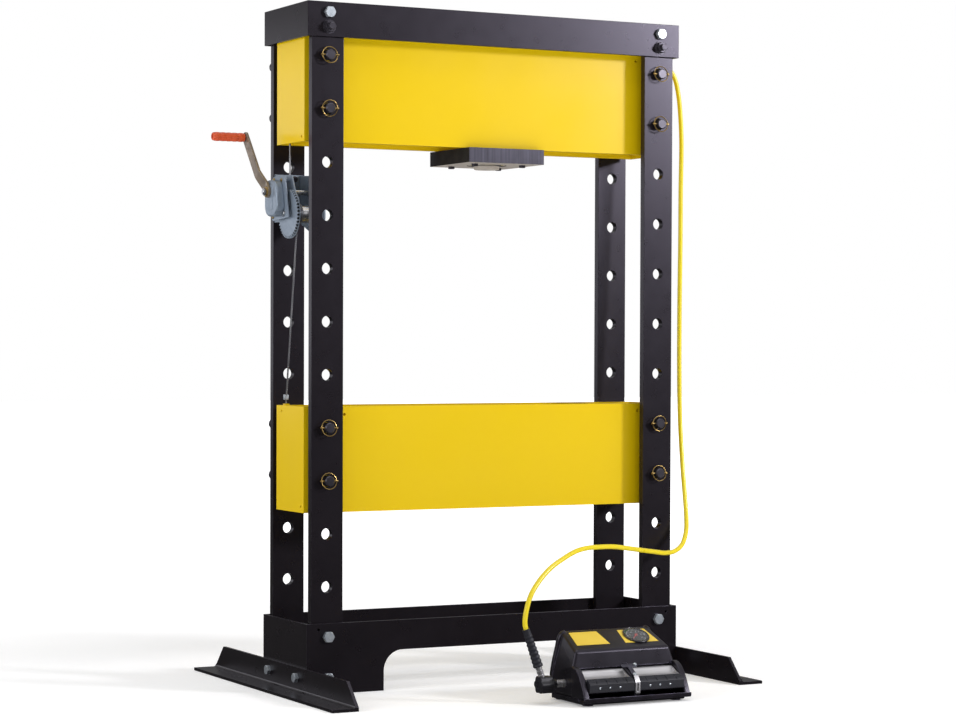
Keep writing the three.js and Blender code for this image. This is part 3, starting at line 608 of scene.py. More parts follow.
def make_frames():
    inner_x, inner_y = FRAME_X - FRAME_PLATE, FRAME_Y - FRAME_PLATE

    def ring(low, high, cutters=()):
        inside = block((-inner_x, inner_x), (-inner_y, inner_y), (low - PAST, high + PAST))
        return softened(carve([block((-FRAME_X, FRAME_X), (-FRAME_Y, FRAME_Y), (low, high))],
                              [inside, *cutters]), 1.3)

    stand_in("top_frame", ring(TOP_FRAME_BOTTOM, HEIGHT), BLACK)
    right = arc(ARCH_RADIUS, 90, 0, 12, (ARCH_X - ARCH_RADIUS, ARCH_Z - ARCH_RADIUS))
    left = [(-x, z) for x, z in reversed(right)]
    through_y = (-FRAME_Y - PAST, FRAME_Y + PAST)
    arch = prism([*left, *right, (ARCH_X, -PAST), (-ARCH_X, -PAST)], "y", *through_y)
    small_holes = together([rod("y", 4, *through_y, (sx * 538, 171.5), 20) for sx in SIDES.values()])
    stand_in("base_frame", ring(0, BASE_TOP, [arch, small_holes]), BLACK)

    places = [((sx * COLUMN_X, sy * FRAME_Y), facing("y", sy)) for sx in SIDES.values()
              for sy in ENDS.values()]
    for name, z in BOLT_ROWS.items():
        bolts = spread_out(hex_head(15.5, 11), [((x, y, z), turn) for (x, y), turn in places])
        piece(name, bolts, BOLT_ZINC, "press", "bright_steel")
    nuts = spread_out(hex_head(16, 13, 18.5, 24), [((x, y, STUD_Z), turn) for (x, y), turn in places])
    piece("top_studs", nuts, DARK_BOLT, "press", "dark_steel")


def make_feet():
    inner = FRAME_X + GAP
    low = FOOT_THICK + 2
    profile = [(-FOOT_HALF, 0), (FOOT_HALF, 0), (FOOT_HALF, low), (FOOT_HALF - FOOT_CHAMFER, FOOT_HEIGHT),
               (-FOOT_HALF + FOOT_CHAMFER, FOOT_HEIGHT), (-FOOT_HALF, low)]
    for side, sx in SIDES.items():
        root = sx * (inner + FOOT_THICK)
        upright = prism(profile, "x", *span(sx * inner, root))
        flange = block(span(sx * inner, sx * (inner + FOOT_WIDTH)), (-FOOT_HALF, FOOT_HALF), (0, FOOT_THICK))
        fillet = [(root + sx * (FOOT_FILLET - b), FOOT_THICK + FOOT_FILLET - a)
                  for a, b in arc(FOOT_FILLET, 0, 90, 8)]
        corner = prism([(root - sx * 2, FOOT_THICK - 2), *fillet], "y", -FOOT_HALF + 1, FOOT_HALF - 1)
        stand_in(f"foot_{side}", softened(carve([upright, flange, corner]), 1.2), BLACK)
        places = [((root, y, FOOT_BOLT_Z), facing("x", sx)) for y in FOOT_BOLT_Y]
        piece(f"foot_bolts_{side}", spread_out(hex_head(13.5, 10, turn=math.pi / 6), places), BOLT_ZINC,
              "press", "bright_steel")


# ---- bolsters, pins and rings ----
BOLSTER_X, BOLSTER_Y, BOLSTER_PLATE, BOLSTER_END, BOLSTER_HEIGHT = 557.7, 91.2, 20, 8, 283.5
UPPER_BOLSTER_Z, LOWER_BOLSTER_Z = 1465.1, 477.6
PIN_ROWS = {"upper_high": 0, "upper_low": 1, "lower_high": 7, "lower_low": 8}
PIN_RADIUS, PIN_FRONT_Y, PIN_REAR_Y = 14, -160, 227
RING_Y, RING_RADIUS, RING_WIRE, CROSS_PIN_HALF = -152, 21.5, 1.3, 26
SHEAVE_X, SHEAVE_Z = 517, 1736
GROMMET_Y, GROMMET_Z, GROMMET_RADIUS = -60, 1722, 12


def bolster_shell(bottom):
    top = bottom + BOLSTER_HEIGHT
    inside = block((-BOLSTER_X + BOLSTER_END, BOLSTER_X - BOLSTER_END),
                   (-BOLSTER_Y + BOLSTER_PLATE, BOLSTER_Y - BOLSTER_PLATE), (bottom - PAST, top + PAST))
    return carve([block((-BOLSTER_X, BOLSTER_X), (-BOLSTER_Y, BOLSTER_Y), (bottom, top))], [inside])


def make_bolsters():
    through_y = (-BOLSTER_Y - PAST, BOLSTER_Y + PAST)

    def small_holes(in_front, in_end):
        """Blind holes at (x, z) in the front plate, and at (y, z) in the left end plate."""
        return [rod(axis, 3.6, -face - PAST, -face + 12, centre, 20) for axis, face, centres in
                (("y", BOLSTER_Y, in_front), ("x", BOLSTER_X, in_end)) for centre in centres]

    grommet_hole = rod("x", GROMMET_RADIUS + GAP, BOLSTER_X - 12, BOLSTER_X + PAST,
                       (GROMMET_Y, GROMMET_Z), 32)
    upper_cuts = [*small_holes([(463, 1728)], [(-73, 1478)]), grommet_hole]
    for sx in SIDES.values():
        upper_cuts += [rod("y", HOLE_RADIUS, *through_y, (sx * COLUMN_X, hole_z(PIN_ROWS[row])), 40)
                       for row in ("upper_high", "upper_low")]
        upper_cuts.append(rod("y", 6.8, *through_y, (sx * SHEAVE_X, SHEAVE_Z), 24))
    upper = carve([bolster_shell(UPPER_BOLSTER_Z)], [together(upper_cuts)])
    stand_in("upper_bolster", softened(upper, 1.1), YELLOW)

    slot_top = hole_z(PIN_ROWS["lower_high"]) - HOLE_RADIUS + PIN_RADIUS + 2 * GAP
    slots = []
    for x in (sx * COLUMN_X for sx in SIDES.values()):
        foot = [(x - HOLE_RADIUS, LOWER_BOLSTER_Z - PAST), (x + HOLE_RADIUS, LOWER_BOLSTER_Z - PAST)]
        slots.append(prism([*arc(HOLE_RADIUS, 0, 180, 20, (x, slot_top)), *foot], "y", *through_y))
    small = small_holes([(473.5, 740), (-439, 739)], [(56.5, 746.5), (-72.5, 494.5)])
    lugs = [block(span(sx * (BOLSTER_X - 20), sx * (BOLSTER_X - BOLSTER_END + 1)), (y - 8, y + 8),
                  (735, 765.4))
            for sx, y in ((-1, 57), (1, -40))]
    bed = carve([bolster_shell(LOWER_BOLSTER_Z), *lugs], [together(slots), together(small)])
    stand_in("lower_bolster", softened(bed, 1.1), YELLOW)


def make_pins():
    for row, number in PIN_ROWS.items():
        for side, sx in SIDES.items():
            x, z = sx * COLUMN_X, hole_z(number)
            profile = [(0, PIN_FRONT_Y), (11.6, PIN_FRONT_Y), (PIN_RADIUS, PIN_FRONT_Y + 2.4),
                       (PIN_RADIUS, PIN_REAR_Y - 2.4), (11.6, PIN_REAR_Y), (0, PIN_REAR_Y)]
            bar = moved(turned(profile, 40), (x, 0, z), facing("y", 1))
            hole = rod("x", 2.5, x - 30, x + 30, (RING_Y, z), 16)
            stand_in(f"pin_{row}_{side}", carve([bar], [hole]), PIN_STEEL)
            tilt = math.radians(9 if (number + sx) % 4 else -6)
            bow = [(x + a, RING_Y + b * math.sin(tilt), z + b * math.cos(tilt))
                   for a, b in circle(RING_RADIUS, sides=40)]
            knob_x = (x - RING_RADIUS, x + RING_RADIUS)
            knobs = [softened(rod("x", 3.3, k - 2.4, k + 2.4, (RING_Y, z), 20), 0.8) for k in knob_x]
            cross = softened(rod("x", 2.2, x - CROSS_PIN_HALF, x + CROSS_PIN_HALF, (RING_Y, z), 20), 0.6)
            clip = together([swept(bow, RING_WIRE, 10, True), cross, *knobs])
            stand_in(f"ring_clip_{row}_{side}", clip, BRASS)


# ---- cylinder ----
CYLINDER_X = 36
MOUNT_TOP = UPPER_BOLSTER_Z - GAP
MOUNT_X, MOUNT_Y, MOUNT_THICK = 233, 240, 41
MOUNT_BOTTOM = MOUNT_TOP - MOUNT_THICK
COLLAR_RADIUS, COLLAR_LOW = 55.5, MOUNT_BOTTOM + 2
RAM_RADIUS, RAM_TOP, RAM_BOTTOM = 39.8, 1684, MOUNT_BOTTOM - 1
PORT_Z = 1660


def make_cylinder():
    at_axis = (CYLINDER_X, 0, 0)
    solid = block((CYLINDER_X - MOUNT_X / 2, CYLINDER_X + MOUNT_X / 2), (-MOUNT_Y / 2, MOUNT_Y / 2),
                  (MOUNT_BOTTOM, MOUNT_TOP))
    opening = rod("z", COLLAR_RADIUS + GAP, MOUNT_BOTTOM - PAST, MOUNT_TOP + PAST, (CYLINDER_X, 0), 72)
    plate = carve([solid], [opening])
    mount = stand_in("cylinder_mount_plate", softened(plate, 1.2), GROUND_STEEL)
    # The downward faces get a lighter warm steel: a painted reflection of the bright floor.
    repaint(mount, WARM_STEEL, (0, 0, -1))
    # The left-looking faces get the near-black material: painted shade.
    repaint(mount, PAINTED_SHADE, (-1, 0, 0))
    head = turned([(0, -1), (9, -1), (9, 5.6), (7.8, 7), (0, 7)], 36)
    socket = carve([head], [prism(circle(4.4, sides=6), "z", 3, 9)])
    places = [((CYLINDER_X + sx * 74, sy * 71, MOUNT_BOTTOM), facing("z", -1)) for sx in (-1, 1)
              for sy in (-1, 1)]
    piece("mount_screws", spread_out(socket, places), DARK_BOLT, "press", "dark_steel")

    body = [(43, COLLAR_LOW + 1), (45, COLLAR_LOW), (COLLAR_RADIUS - 1, COLLAR_LOW),
            (COLLAR_RADIUS, COLLAR_LOW + 1), (COLLAR_RADIUS, MOUNT_TOP + GAP), (63.5, MOUNT_TOP + GAP),
            (63.5, 1700), (60, 1705), (0, 1705), (0, 1688), (43, 1688)]
    port = rod("x", 11, CYLINDER_X + 50, CYLINDER_X + 80, (0, PORT_Z), 32)
    shell = carve([moved(turned(body, 72), at_axis)], [port])
    repaint(stand_in("cylinder_body", shell, YELLOW), WARM_STEEL, (0, 0, -1))
    inner = RAM_RADIUS + GAP
    gland = [(inner, COLLAR_LOW), (42.7, COLLAR_LOW), (42.7, COLLAR_LOW + 14), (inner, COLLAR_LOW + 14)]
    stand_in("gland_ring", moved(turned(gland, 72), at_axis), STEEL)
    ram = [(0, RAM_BOTTOM + 20), (11.8, RAM_BOTTOM + 20), (11.8, RAM_BOTTOM), (RAM_RADIUS - 1.5, RAM_BOTTOM),
           (RAM_RADIUS, RAM_BOTTOM + 1.5), (RAM_RADIUS, RAM_TOP), (0, RAM_TOP)]
    stand_in("ram", moved(turned(ram, 72), at_axis), STEEL)
    low = RAM_BOTTOM - 10
    groove = [(0, 0), (0.5, 0.8), (1.5, 0.8), (2, 0)]
    grooves = [(radius + d, low + h) for radius in range(8, 32, 4) for d, h in groove]
    saddle = [(0, low), *grooves, (34, low), (35.5, low + 1.5), (35.5, RAM_BOTTOM - GAP),
              (11.6, RAM_BOTTOM - GAP), (11.6, RAM_BOTTOM + 18), (0, RAM_BOTTOM + 18)]
    stand_in("ram_saddle", moved(turned(saddle, 64), at_axis), WARM_STEEL)
    coupler = [(0, 0), (10.6, 0), (10.6, 22), (17, 23), (17, 40), (15.5, 41), (15.5, 46), (17, 47), (17, 72),
               (15, 74), (9, 74), (9, 103.6), (0, 103.6)]
    coupler_place = (CYLINDER_X + 50 + GAP, 0, PORT_Z)
    stand_in("hose_coupler", moved(turned(coupler, 40), coupler_place, facing("x", 1)), STEEL)
    grommet = [(7.9, -7), (GROMMET_RADIUS - 1, -7), (GROMMET_RADIUS, -6), (GROMMET_RADIUS, 1), (15, 1),
               (16, 2), (16, 3.5), (14, 5), (8.6, 5), (7.7, 4)]
    grommet_place = (BOLSTER_X - 0.5, GROMMET_Y, GROMMET_Z)
    stand_in("hose_grommet", moved(turned(grommet, 40), grommet_place, facing("x", 1)), RUBBER)


# ---- winch ----
DRUM_Y, DRUM_Z, SHAFT_Y, SHAFT_Z = 7, 1276, 52, 1336
WINCH_LEFT, WINCH_RIGHT, WINCH_REAR = -553, -477, COLUMN_FACE - COLUMN_THICK - GAP
TEETH, TOOTH_ROOT, TOOTH_TIP = 42, 59.5, 66
AXLE_BORE, SHAFT_BORE = 8.3, 7.3
WINCH_PLATE, LOBE_RADIUS = 3, 58
ROPE_TURN = 25.7  # radius of the rope's centre line on the drum
CRANK_LEAN, CRANK_REACH = 39, 197  # degrees back from upright
COVER_SCREWS = [(72, 1370), (22, 1367), (4, 1278), (79, 1269)]
HIDDEN_SCREW = 2  # the one with no post behind it


def gear_outline():
    step = 2 * math.pi / TEETH
    corners = [(TOOTH_ROOT, -0.30), (TOOTH_TIP - 1, -0.20), (TOOTH_TIP, -0.14), (TOOTH_TIP, 0.14),
               (TOOTH_TIP - 1, 0.20), (TOOTH_ROOT, 0.30)]  # radius, and angle in tooth pitches
    return [(DRUM_Y + radius * math.cos((tooth + turn) * step),
             DRUM_Z + radius * math.sin((tooth + turn) * step))
            for tooth in range(TEETH) for radius, turn in corners]


def bowed(start, middle, end, steps=8):
    """Points along a quadratic curve, without its start."""
    return [tuple((1 - t) ** 2 * a + 2 * t * (1 - t) * b + t * t * c for a, b, c in zip(start, middle, end))
            for t in (i / steps for i in range(1, steps + 1))]


def make_winch():
    axle, shaft = (DRUM_Y, DRUM_Z), (SHAFT_Y, SHAFT_Z)
    plates = []
    for x, lobe_end in ((WINCH_LEFT, 343), (WINCH_RIGHT - WINCH_PLATE, 300)):
        lobe = arc(LOBE_RADIUS, 125, lobe_end, 24, axle)
        outline = [(WINCH_REAR - 1, 1258), (WINCH_REAR - 1, 1386), (2, 1380), *lobe]
        plates.append(prism(outline, "x", x, x + WINCH_PLATE))
    back = block((-554, -471), (WINCH_REAR - 4, WINCH_REAR), (1257, 1387))
    posts = [rod("x", 4, -570.7, WINCH_LEFT + 1, centre, 24) for number, centre in enumerate(COVER_SCREWS)
             if number != HIDDEN_SCREW]
    bores = together([rod("x", 8.5, -560, -470, axle, 32), rod("x", 7.5, -560, -470, shaft, 32)])
    stand_in("winch_frame", softened(carve([back, *plates, *posts], [bores]), 0.5), ZINC)
    places = [((x, WINCH_REAR - 4, 1376), facing("y", -1)) for x in (-496, -530)]
    piece("winch_bolts", spread_out(hex_head(6.5, 5, 8.5), places), DARK_BOLT, "press", "dark_steel")

    flange = [(93, 1285), (93, 1357), *bowed((93, 1357), (92, 1374), (72, 1378)), (-1, 1374), (-25, 1266),
              (79, 1259), *bowed((79, 1259), (93, 1262), (93, 1285))[:-1]]
    dome = [(86, 1300), (86, 1345), *bowed((86, 1345), (84, 1366), (62, 1368)), (32, 1366),
            *bowed((32, 1366), (12, 1362), (8, 1340)), (0, 1300), *bowed((0, 1300), (4, 1272), (30, 1270)),
            (60, 1270), *bowed((60, 1270), (84, 1274), (86, 1300))[:-1]]
    shell = softened(prism(dome, "x", -597, -573), 5.5, 5, 50)
    ridge = softened(block((-598.6, -590), (30, 54), (1286, 1354)), 1.5, 3)
    room = rod("x", 26, -594, -565, (50, 1328), 48)
    holes = together([rod("x", SHAFT_BORE, -600, -590, shaft, 32), rod("x", AXLE_BORE, -600, -565, axle, 32)])
    cover = carve([softened(prism(flange, "x", -574, -571), 0.6, 2, 50), shell, ridge], [room, holes])
    stand_in("gear_cover", cover, ZINC)
    screw = carve([turned([(0, -0.5), (4.6, -0.5), (4.6, 1.2), (3.2, 3), (0, 3)], 28)],
                  [block((-5, 5), (-0.6, 0.6), (2, 5))])
    screws = spread_out(screw, [((-574, y, z), facing("x", -1)) for y, z in COVER_SCREWS])
    piece("cover_screws", screws, BRASS, "press", "brass_wire")

    drum = turned([(0, -578), (7, -578), (8, -577), (8, -549.7), (40, -549.7), (40, -547.8), (24, -547.8),
                   (23, -546), (23, -488), (24.5, -485), (40, -485), (40, -482), (8, -482), (8, -474),
                   (7, -473), (0, -473)], 64)
    stand_in("winch_drum", moved(drum, (0, DRUM_Y, DRUM_Z), facing("x", 1)), STEEL)
    turns = [swept([(x, *point) for point in circle(ROPE_TURN, axle)], 2.4, 10, True)
             for x in (-545, -540, -535, -530)]
    piece("drum_cable", together(turns), ROPE, "drum", "wire_rope")
    slot = block((-570, -550), (-9, 2), (1287, 1310))
    bore = rod("x", AXLE_BORE, -570, -550, axle, 40)
    gear = carve([prism(gear_outline(), "x", -561.5, -555.2)], [bore.copy(), slot])
    disc = carve([rod("x", TOOTH_TIP, -555.3, -553.6, axle, 96)], [bore])
    stand_in("drive_gear", together([softened(gear, 0.3, 1), softened(disc, 0.4)]), ZINC)
    # A near-black ring in the tooth gaps and a near-black block in the slot: painted shade where the gear is
    # open.
    gap_shade = carve([rod("x", TOOTH_TIP - 2.2, -560.6, -555.4, axle, 96)], [rod("x", 40, -570, -550, axle, 64)])
    gap_shade = together([gap_shade, block((-557, -555.4), (-10, 3), (1286, 1311))])
    piece("gear_gap_shade", gap_shade, PAINTED_SHADE, "drum", "dark_steel")
    pinion = turned([(0, -617), (6, -617), (7, -616), (7, -561), (8.3, -560.5), (8.3, -554.5), (7, -554),
                     (7, -473), (6, -472), (0, -472)], 40)
    pinion = moved(pinion, (0, SHAFT_Y, SHAFT_Z), facing("x", 1))
    nut = moved(hex_head(10.5, 8), (-607, SHAFT_Y, SHAFT_Z), facing("x", -1))
    stand_in("pinion_shaft", together([pinion, nut]), STEEL)


def make_crank():
    turn = about("x", -CRANK_LEAN)
    place = (0, SHAFT_Y, SHAFT_Z)
    side = [(-599, -16), (-606, -16), (-606, 20), (-608, 28), (-615.5, 55), (-617.5, 64),
            (-617.5, CRANK_REACH + 15), (-610.5, CRANK_REACH + 15), (-610.5, 65), (-608.7, 56), (-601, 28),
            (-599, 21)]
    outline = [*arc(15, 0, 180, 16, (0, CRANK_REACH)), *arc(16, 180, 360, 16)]
    bore = rod("x", SHAFT_BORE, -620, -590, (0, 0), 32)
    arm = carve([prism(side, "y", -17, 17)], (), prism(outline, "x", -625, -590))
    arm = carve([arm], [bore.copy()])
    stand_in("crank_arm", moved(softened(arm, 1.2), place, turn), YELLOW_ZINC)
    hub = carve([softened(rod("x", 14, -609, -597.2, (0, 0)), 1.5, 3)], [bore])
    piece("crank_hub", moved(hub, place, turn), BRASS, "crank", "yellow_zinc")
    spindle = softened(rod("x", 5, -699, -609.5, (0, CRANK_REACH)), 0.8)
    rivet = softened(rod("x", 8, -610.6, -607.5, (0, CRANK_REACH)), 1.2)
    piece("crank_spindle", moved(together([spindle, rivet]), place, turn), BOLT_ZINC, "crank", "bright_steel")
    length, ridges, steps = 94, 5, 84
    outside = [(11.3 + abs(math.sin(math.pi * ridges * i / steps)) ** 0.6, 3 + (length - 9) * i / steps)
               for i in range(steps + 1)]
    grip = turned([(5.3, 0), (10, 0), (11.6, 1.5), *outside, (11, length - 3), (9, length - 1),
                   (6.5, length), (5.8, length - 1), (5.3, length - 4)], 48)
    grip = moved(grip, (-619, 0, CRANK_REACH), facing("x", -1))
    stand_in("crank_grip", moved(grip, place, turn), GRIP)


def make_sheaves():
    for side, y in (("left", 30), ("right", -40)):
        profile = [(6, -7), (31, -6), (31, -4.4), (25.2, -2.2), (25.2, 2.2), (31, 4.4), (31, 6), (6, 7)]
        x = SIDES[side] * SHEAVE_X
        wheel = moved(turned(profile, 64), (x, y, SHEAVE_Z), facing("y", 1))
        axle = softened(rod("y", 6, -88, 88, (x, SHEAVE_Z)), 0.8)
        stand_in(f"sheave_{side}", together([wheel, axle]), GROUND_STEEL)


# ---- winch cables ----
CABLES = {"left": ((-545, -18.8, 1276), (-545, 57, 766.3)),
          "right": ((544.8, -40, 1734.8), (544.8, -40, 766.3))}


def laid_rope(start, end):
    """A straight rope of six strands, which show as a twisted six-lobed section."""
    radius, pitch, corners = 2.5, 34.0, 12
    start, end = Vector(start), Vector(end)
    length = (end - start).length
    steps = int(length / 3.5)
    bm = bmesh.new()
    rings = []
    for along in (length * i / steps for i in range(steps + 1)):
        ring = []
        for k in range(corners):
            reach = radius * (1.0 if k % 2 else 0.78)
            angle = 2 * math.pi * (k / corners + along / pitch)
            ring.append(bm.verts.new((reach * math.cos(angle), reach * math.sin(angle), along)))
        rings.append(ring)
    for first, second in zip(rings, rings[1:]):
        for k in range(corners):
            after = (k + 1) % corners
            bm.faces.new((first[k], first[after], second[after], second[k]))
    bm.faces.new(reversed(rings[0]))
    bm.faces.new(rings[-1])
    return moved(bm, start, Vector((0, 0, 1)).rotation_difference(end - start))


def make_cables():
    """Each cable is a straight laid rope between its upper and lower ends."""
    for side, (top, bottom) in CABLES.items():
        rope = stand_in(f"cable_{side}", laid_rope(top, bottom), ROPE, 60.0)
        tuple(at(*top))
        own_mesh(rope)


# ---- pump ----
PUMP_X, SLOPE = 131, math.radians(25)
BAYS = {"left": (-142.5, -7), "right": (8.5, 142.5)}  # from the pump's middle
PORT_CENTRE = (-560, 50)


def on_slope(distance, height=0.0):
    """(y, z) of a point up the sloping top from its front edge, and above it."""
    return (-594 + distance * math.cos(SLOPE) - height * math.sin(SLOPE),
            136 + distance * math.sin(SLOPE) + height * math.cos(SLOPE))


def hull(points):
    bm = bmesh.new()
    for point in points:
        bm.verts.new(point)
    made = bmesh.ops.convex_hull(bm, input=bm.verts)
    inside = [v for v in made["geom_interior"] if isinstance(v, bmesh.types.BMVert)]
    bmesh.ops.delete(bm, geom=inside, context="VERTS")
    bmesh.ops.dissolve_limit(bm, angle_limit=math.radians(1), verts=bm.verts, edges=bm.edges)
    return bm


def make_housing():
    corners = [(142, -594, 136), (130, *on_slope(104)), (134, -484, 168), (156, -482, 18), (158, -480, 60),
               (155, -601, 92), (156, -610, 18)]
    shell = softened(hull([(PUMP_X + s * half, y, z) for half, y, z in corners for s in (-1, 1)]), 8, 5, 12)
    post = [(-600, 99), (-614, 97), (-628, 90), (-642, 76), (-653, 59), (-662, 42), (-669, 27), (-671, 22),
            (-671, 18), (-600, 18)]
    divider = [(-600, 99), (-612, 96), (-616, 94), (-658, 62), (-664, 54), (-665, 50), (-665, 18), (-600, 18)]
    posts = [softened(prism(post, "x", PUMP_X + a, PUMP_X + b), 3.4, 4, 50)
             for a, b in ((-159, -142.5), (142.5, 159))]
    bridge = softened(prism(divider, "x", PUMP_X - 7, PUMP_X + 8.5), 2.4, 3, 50)
    bays = [block((PUMP_X + a, PUMP_X + b), (-690, -594), (24, 91)) for a, b in BAYS.values()]
    port = rod("x", 10.3, -60, -4.7, PORT_CENTRE, 32)
    rib_line = [(120, -503, 172), (130, -500, 166), (139, -496, 130), (149, -492, 74), (152, -491, 24)]
    ribs = [swept(through([(PUMP_X + s * half, y, z) for half, y, z in rib_line], 8), 10.5, 20)
            for s in (-1, 1)]
    body = carve([shell, *posts, bridge, *ribs], [*bays, port])
    stand_in("pump_housing", body, PLASTIC)


def make_pump_base():
    low = (PUMP_X - 152, PUMP_X + 152)
    foot = softened(block(low, (-656, -483), (3, 17.7)), 3, 3)
    pads = [softened(rod("z", 14, 0, 4, (PUMP_X + sx * 132, y)), 1) for sx in (-1, 1) for y in (-640, -500)]
    section = [(-640, 14), (-640, 17.7), (-671, 10), (-674, 13), (-674, 17.7), (-660, 8)]
    lip = softened(hull([(PUMP_X + s * 161, y, z) for s in (-1, 1) for y, z in section]), 0.8)
    rim = softened(block((PUMP_X - 161, PUMP_X + 161), (-674, -672.3), (15, 22)), 0.6)
    stand_in("pump_base", carve([foot, lip, rim, *pads]), PLASTIC)


def make_pedals():
    bend = [(-600, 86), (-607, 85.6), (-611, 83.6), (-614, 80), (-618, 75), (-624, 70.6),
            (-632, 67.4), (-648, 64)]
    under = [(y, z - 3.4) for y, z in reversed(bend)]
    lip = [(-648.3, 69.4), (-660, 63.6), (-665.5, 60), (-668, 56.5), (-668, 36), (-667, 34.3), (-661, 34.3),
           (-659.5, 36), (-648.3, 54)]
    cheek = [(-602, 83), (-618, 81), (-632, 73), (-646, 68), (-646, 56), (-602, 68)]
    for side, (a, b) in BAYS.items():
        x = (PUMP_X + a + 1, PUMP_X + b - 1)
        middle = sum(x) / 2
        plate = softened(prism([*bend, *under], "x", *x), 0.5, 2, 40)
        ends = [softened(prism(cheek, "x", *span(e, e + s * 2.5)), 0.5) for e, s in ((x[0], 1), (x[1], -1))]
        stand_in(f"pedal_{side}", together([plate, *ends]), SILVER)
        notches = [block((middle + d - 0.9, middle + d + 0.9), (-675, -640), (57, 75))
                   for d in (-45, -15, 15, 45)]
        ribs = [rod("x", 0.9, *x, (-651 - 3.4 * i, 68.4 - 1.72 * i), 12) for i in range(4)]
        tread = carve([softened(prism(lip, "x", *x), 1, 2), *ribs], [together(notches)])
        stand_in(f"pedal_tread_{side}", tread, RUBBER)
        rivet = turned([(0, -0.5), (2.9, -0.5), (2.6, 0.6), (1.5, 1.2), (0, 1.3)], 20)
        places = [((middle + d, -668, 46), facing("y", -1)) for d in (-37, -7, 23)]
        piece(f"tread_rivets_{side}", spread_out(rivet, places), BOLT_ZINC, f"pedal_{side}", "silver_plate")
        pivot = rod("x", 4, x[0] - 2, x[1] + 2, (-604, 80), 24)
        piece(f"pedal_pivot_{side}", softened(pivot, 0.5), BOLT_ZINC, "press", "silver_plate")


LEVER, LEVER_SLOPE = (132, -650.6, 73.2), math.degrees(math.atan2(24.4, 35.5))


def make_lock():
    half_tee = [(5, -7), (6, -4), (6, 29), (21, 29), (23, 31), (23, 39), (21, 41)]
    tee = [(-5, -7), *half_tee, *[(-x, y) for x, y in reversed(half_tee[1:])]]
    blade = softened(prism(tee, "z", 0, 2.5), 0.5)
    head = turned([(0, 2), (5, 2), (5, 3.6), (3.6, 5), (0, 5.2)], 28)
    stem = rod("z", 3, -14, 1, (0, 0), 24)
    knob = softened(rod("z", 4.2, 2, 7, (17, 35), 28), 1)
    turn = about("x", LEVER_SLOPE)
    stand_in("lock_lever", moved(together([blade, stem]), LEVER, turn), GROUND_STEEL)
    piece("lock_screws", moved(together([head, knob]), LEVER, turn), BOLT_ZINC, "lock_lever", "silver_plate")
    strip = [(-656.5, 71.5), (-664, 60.5), (-666.6, 54), (-666.6, 28), (-668.6, 28), (-668.6, 55),
             (-666, 61.6), (-658, 73)]
    slot = block((131, 134), (-672, -662), (33, 55))
    bracket = softened(carve([prism(strip, "x", 125.5, 139.5)], [slot]), 0.5)
    piece("lock_bracket", bracket, SILVER, "press", "silver_plate")


def make_labels():
    """Plain thin panels: where their front and rear edges start and end across the pump."""
    front, rear = 26, 89.5
    for side, x_front, x_rear in (("left", (6.8, 105.8), (13.4, 96.7)),
                                  ("right", (153, 253.6), (160, 242.4))):
        corners = [(x_front[0], front), (x_front[1], front), (x_rear[1], rear), (x_rear[0], rear)]
        panel = hull([(x, *on_slope(s, height)) for height in (-0.4, 0.5) for x, s in corners])
        piece(f"label_{side}", panel, LABEL, "press", "yellow_hose")


def make_gauge():
    turn = about("x", math.degrees(SLOPE))
    place = (200.5, *on_slope(57, GAP))
    bezel = [(0, 0.3), (36.5, 0.3), (36.5, 3.6), (35.6, 4.7), (34.2, 5), (32.6, 4.7), (32, 4), (32, 1.2),
             (0, 1.2)]
    stand_in("gauge_bezel", moved(turned(bezel, 72), place, turn), GAUGE_BLACK)
    dial = moved(turned([(0, 1.1), (31.8, 1.1), (31.8, 1.4), (0, 1.4)], 64), place, turn)
    piece("gauge_dial", dial, DIAL, "press", "black_plastic")
    marks = []
    for i in range(31):
        half, inner = (0.45, 21.5) if i % 5 == 0 else (0.25, 24)
        marks.append(moved(block((-half, half), (inner, 27.5), (1.3, 1.6)), turn=about("z", 135 - 9 * i)))
    piece("gauge_marks", moved(together(marks), place, turn), MARK_WHITE, "press", "silver_plate")
    green = prism([*arc(30.4, 150, 102, 8), *arc(28.6, 102, 150, 8)], "z", 1.3, 1.55)
    piece("gauge_green_arc", moved(green, place, turn), MARK_GREEN, "press", "silver_plate")
    for i, number in enumerate(range(0, 12, 2)):
        angle = math.radians(225 - 54 * i)
        text = bpy.data.curves.new(f"gauge_number_{number}", "FONT")
        text.body = str(number)
        text.size = 6 * MM
        text.extrude = 0.1 * MM
        text.align_x = "CENTER"
        text.align_y = "CENTER"
        text.materials.append(MARK_WHITE)
        obj = bpy.data.objects.new(text.name, text)
        on_dial = Vector((17 * math.cos(angle), 17 * math.sin(angle), 1.5)) * MM
        obj.matrix_world = (Matrix.Translation(at(*place)) @ turn.to_matrix().to_4x4()
                            @ Matrix.Translation(on_dial))
        bpy.context.scene.collection.objects.link(obj)
        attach(obj, "press")
    pointer = softened(prism([(-1.6, -9), (1.6, -9), (0.5, 26), (-0.5, 26)], "z", 2.1, 2.8), 0.2)
    hub = turned([(0, 1.5), (4.5, 1.5), (4.5, 3), (3.6, 3.5), (0, 3.6)], 32)
    needle = moved(together([pointer, hub]), turn=about("z", 135))
    stand_in("gauge_needle", moved(needle, place, turn), RED)
    dome = [(31.8 * a, 4.2 + 0.7 * b) for a, b in arc(1, 0, 90, 10)[1:-1]]
    lens = [(0, 3.8), (31.8, 3.8), (31.8, 4.2), *dome, (0, 4.9)]
    stand_in("gauge_lens", moved(turned(lens, 64), place, turn), GLASS)


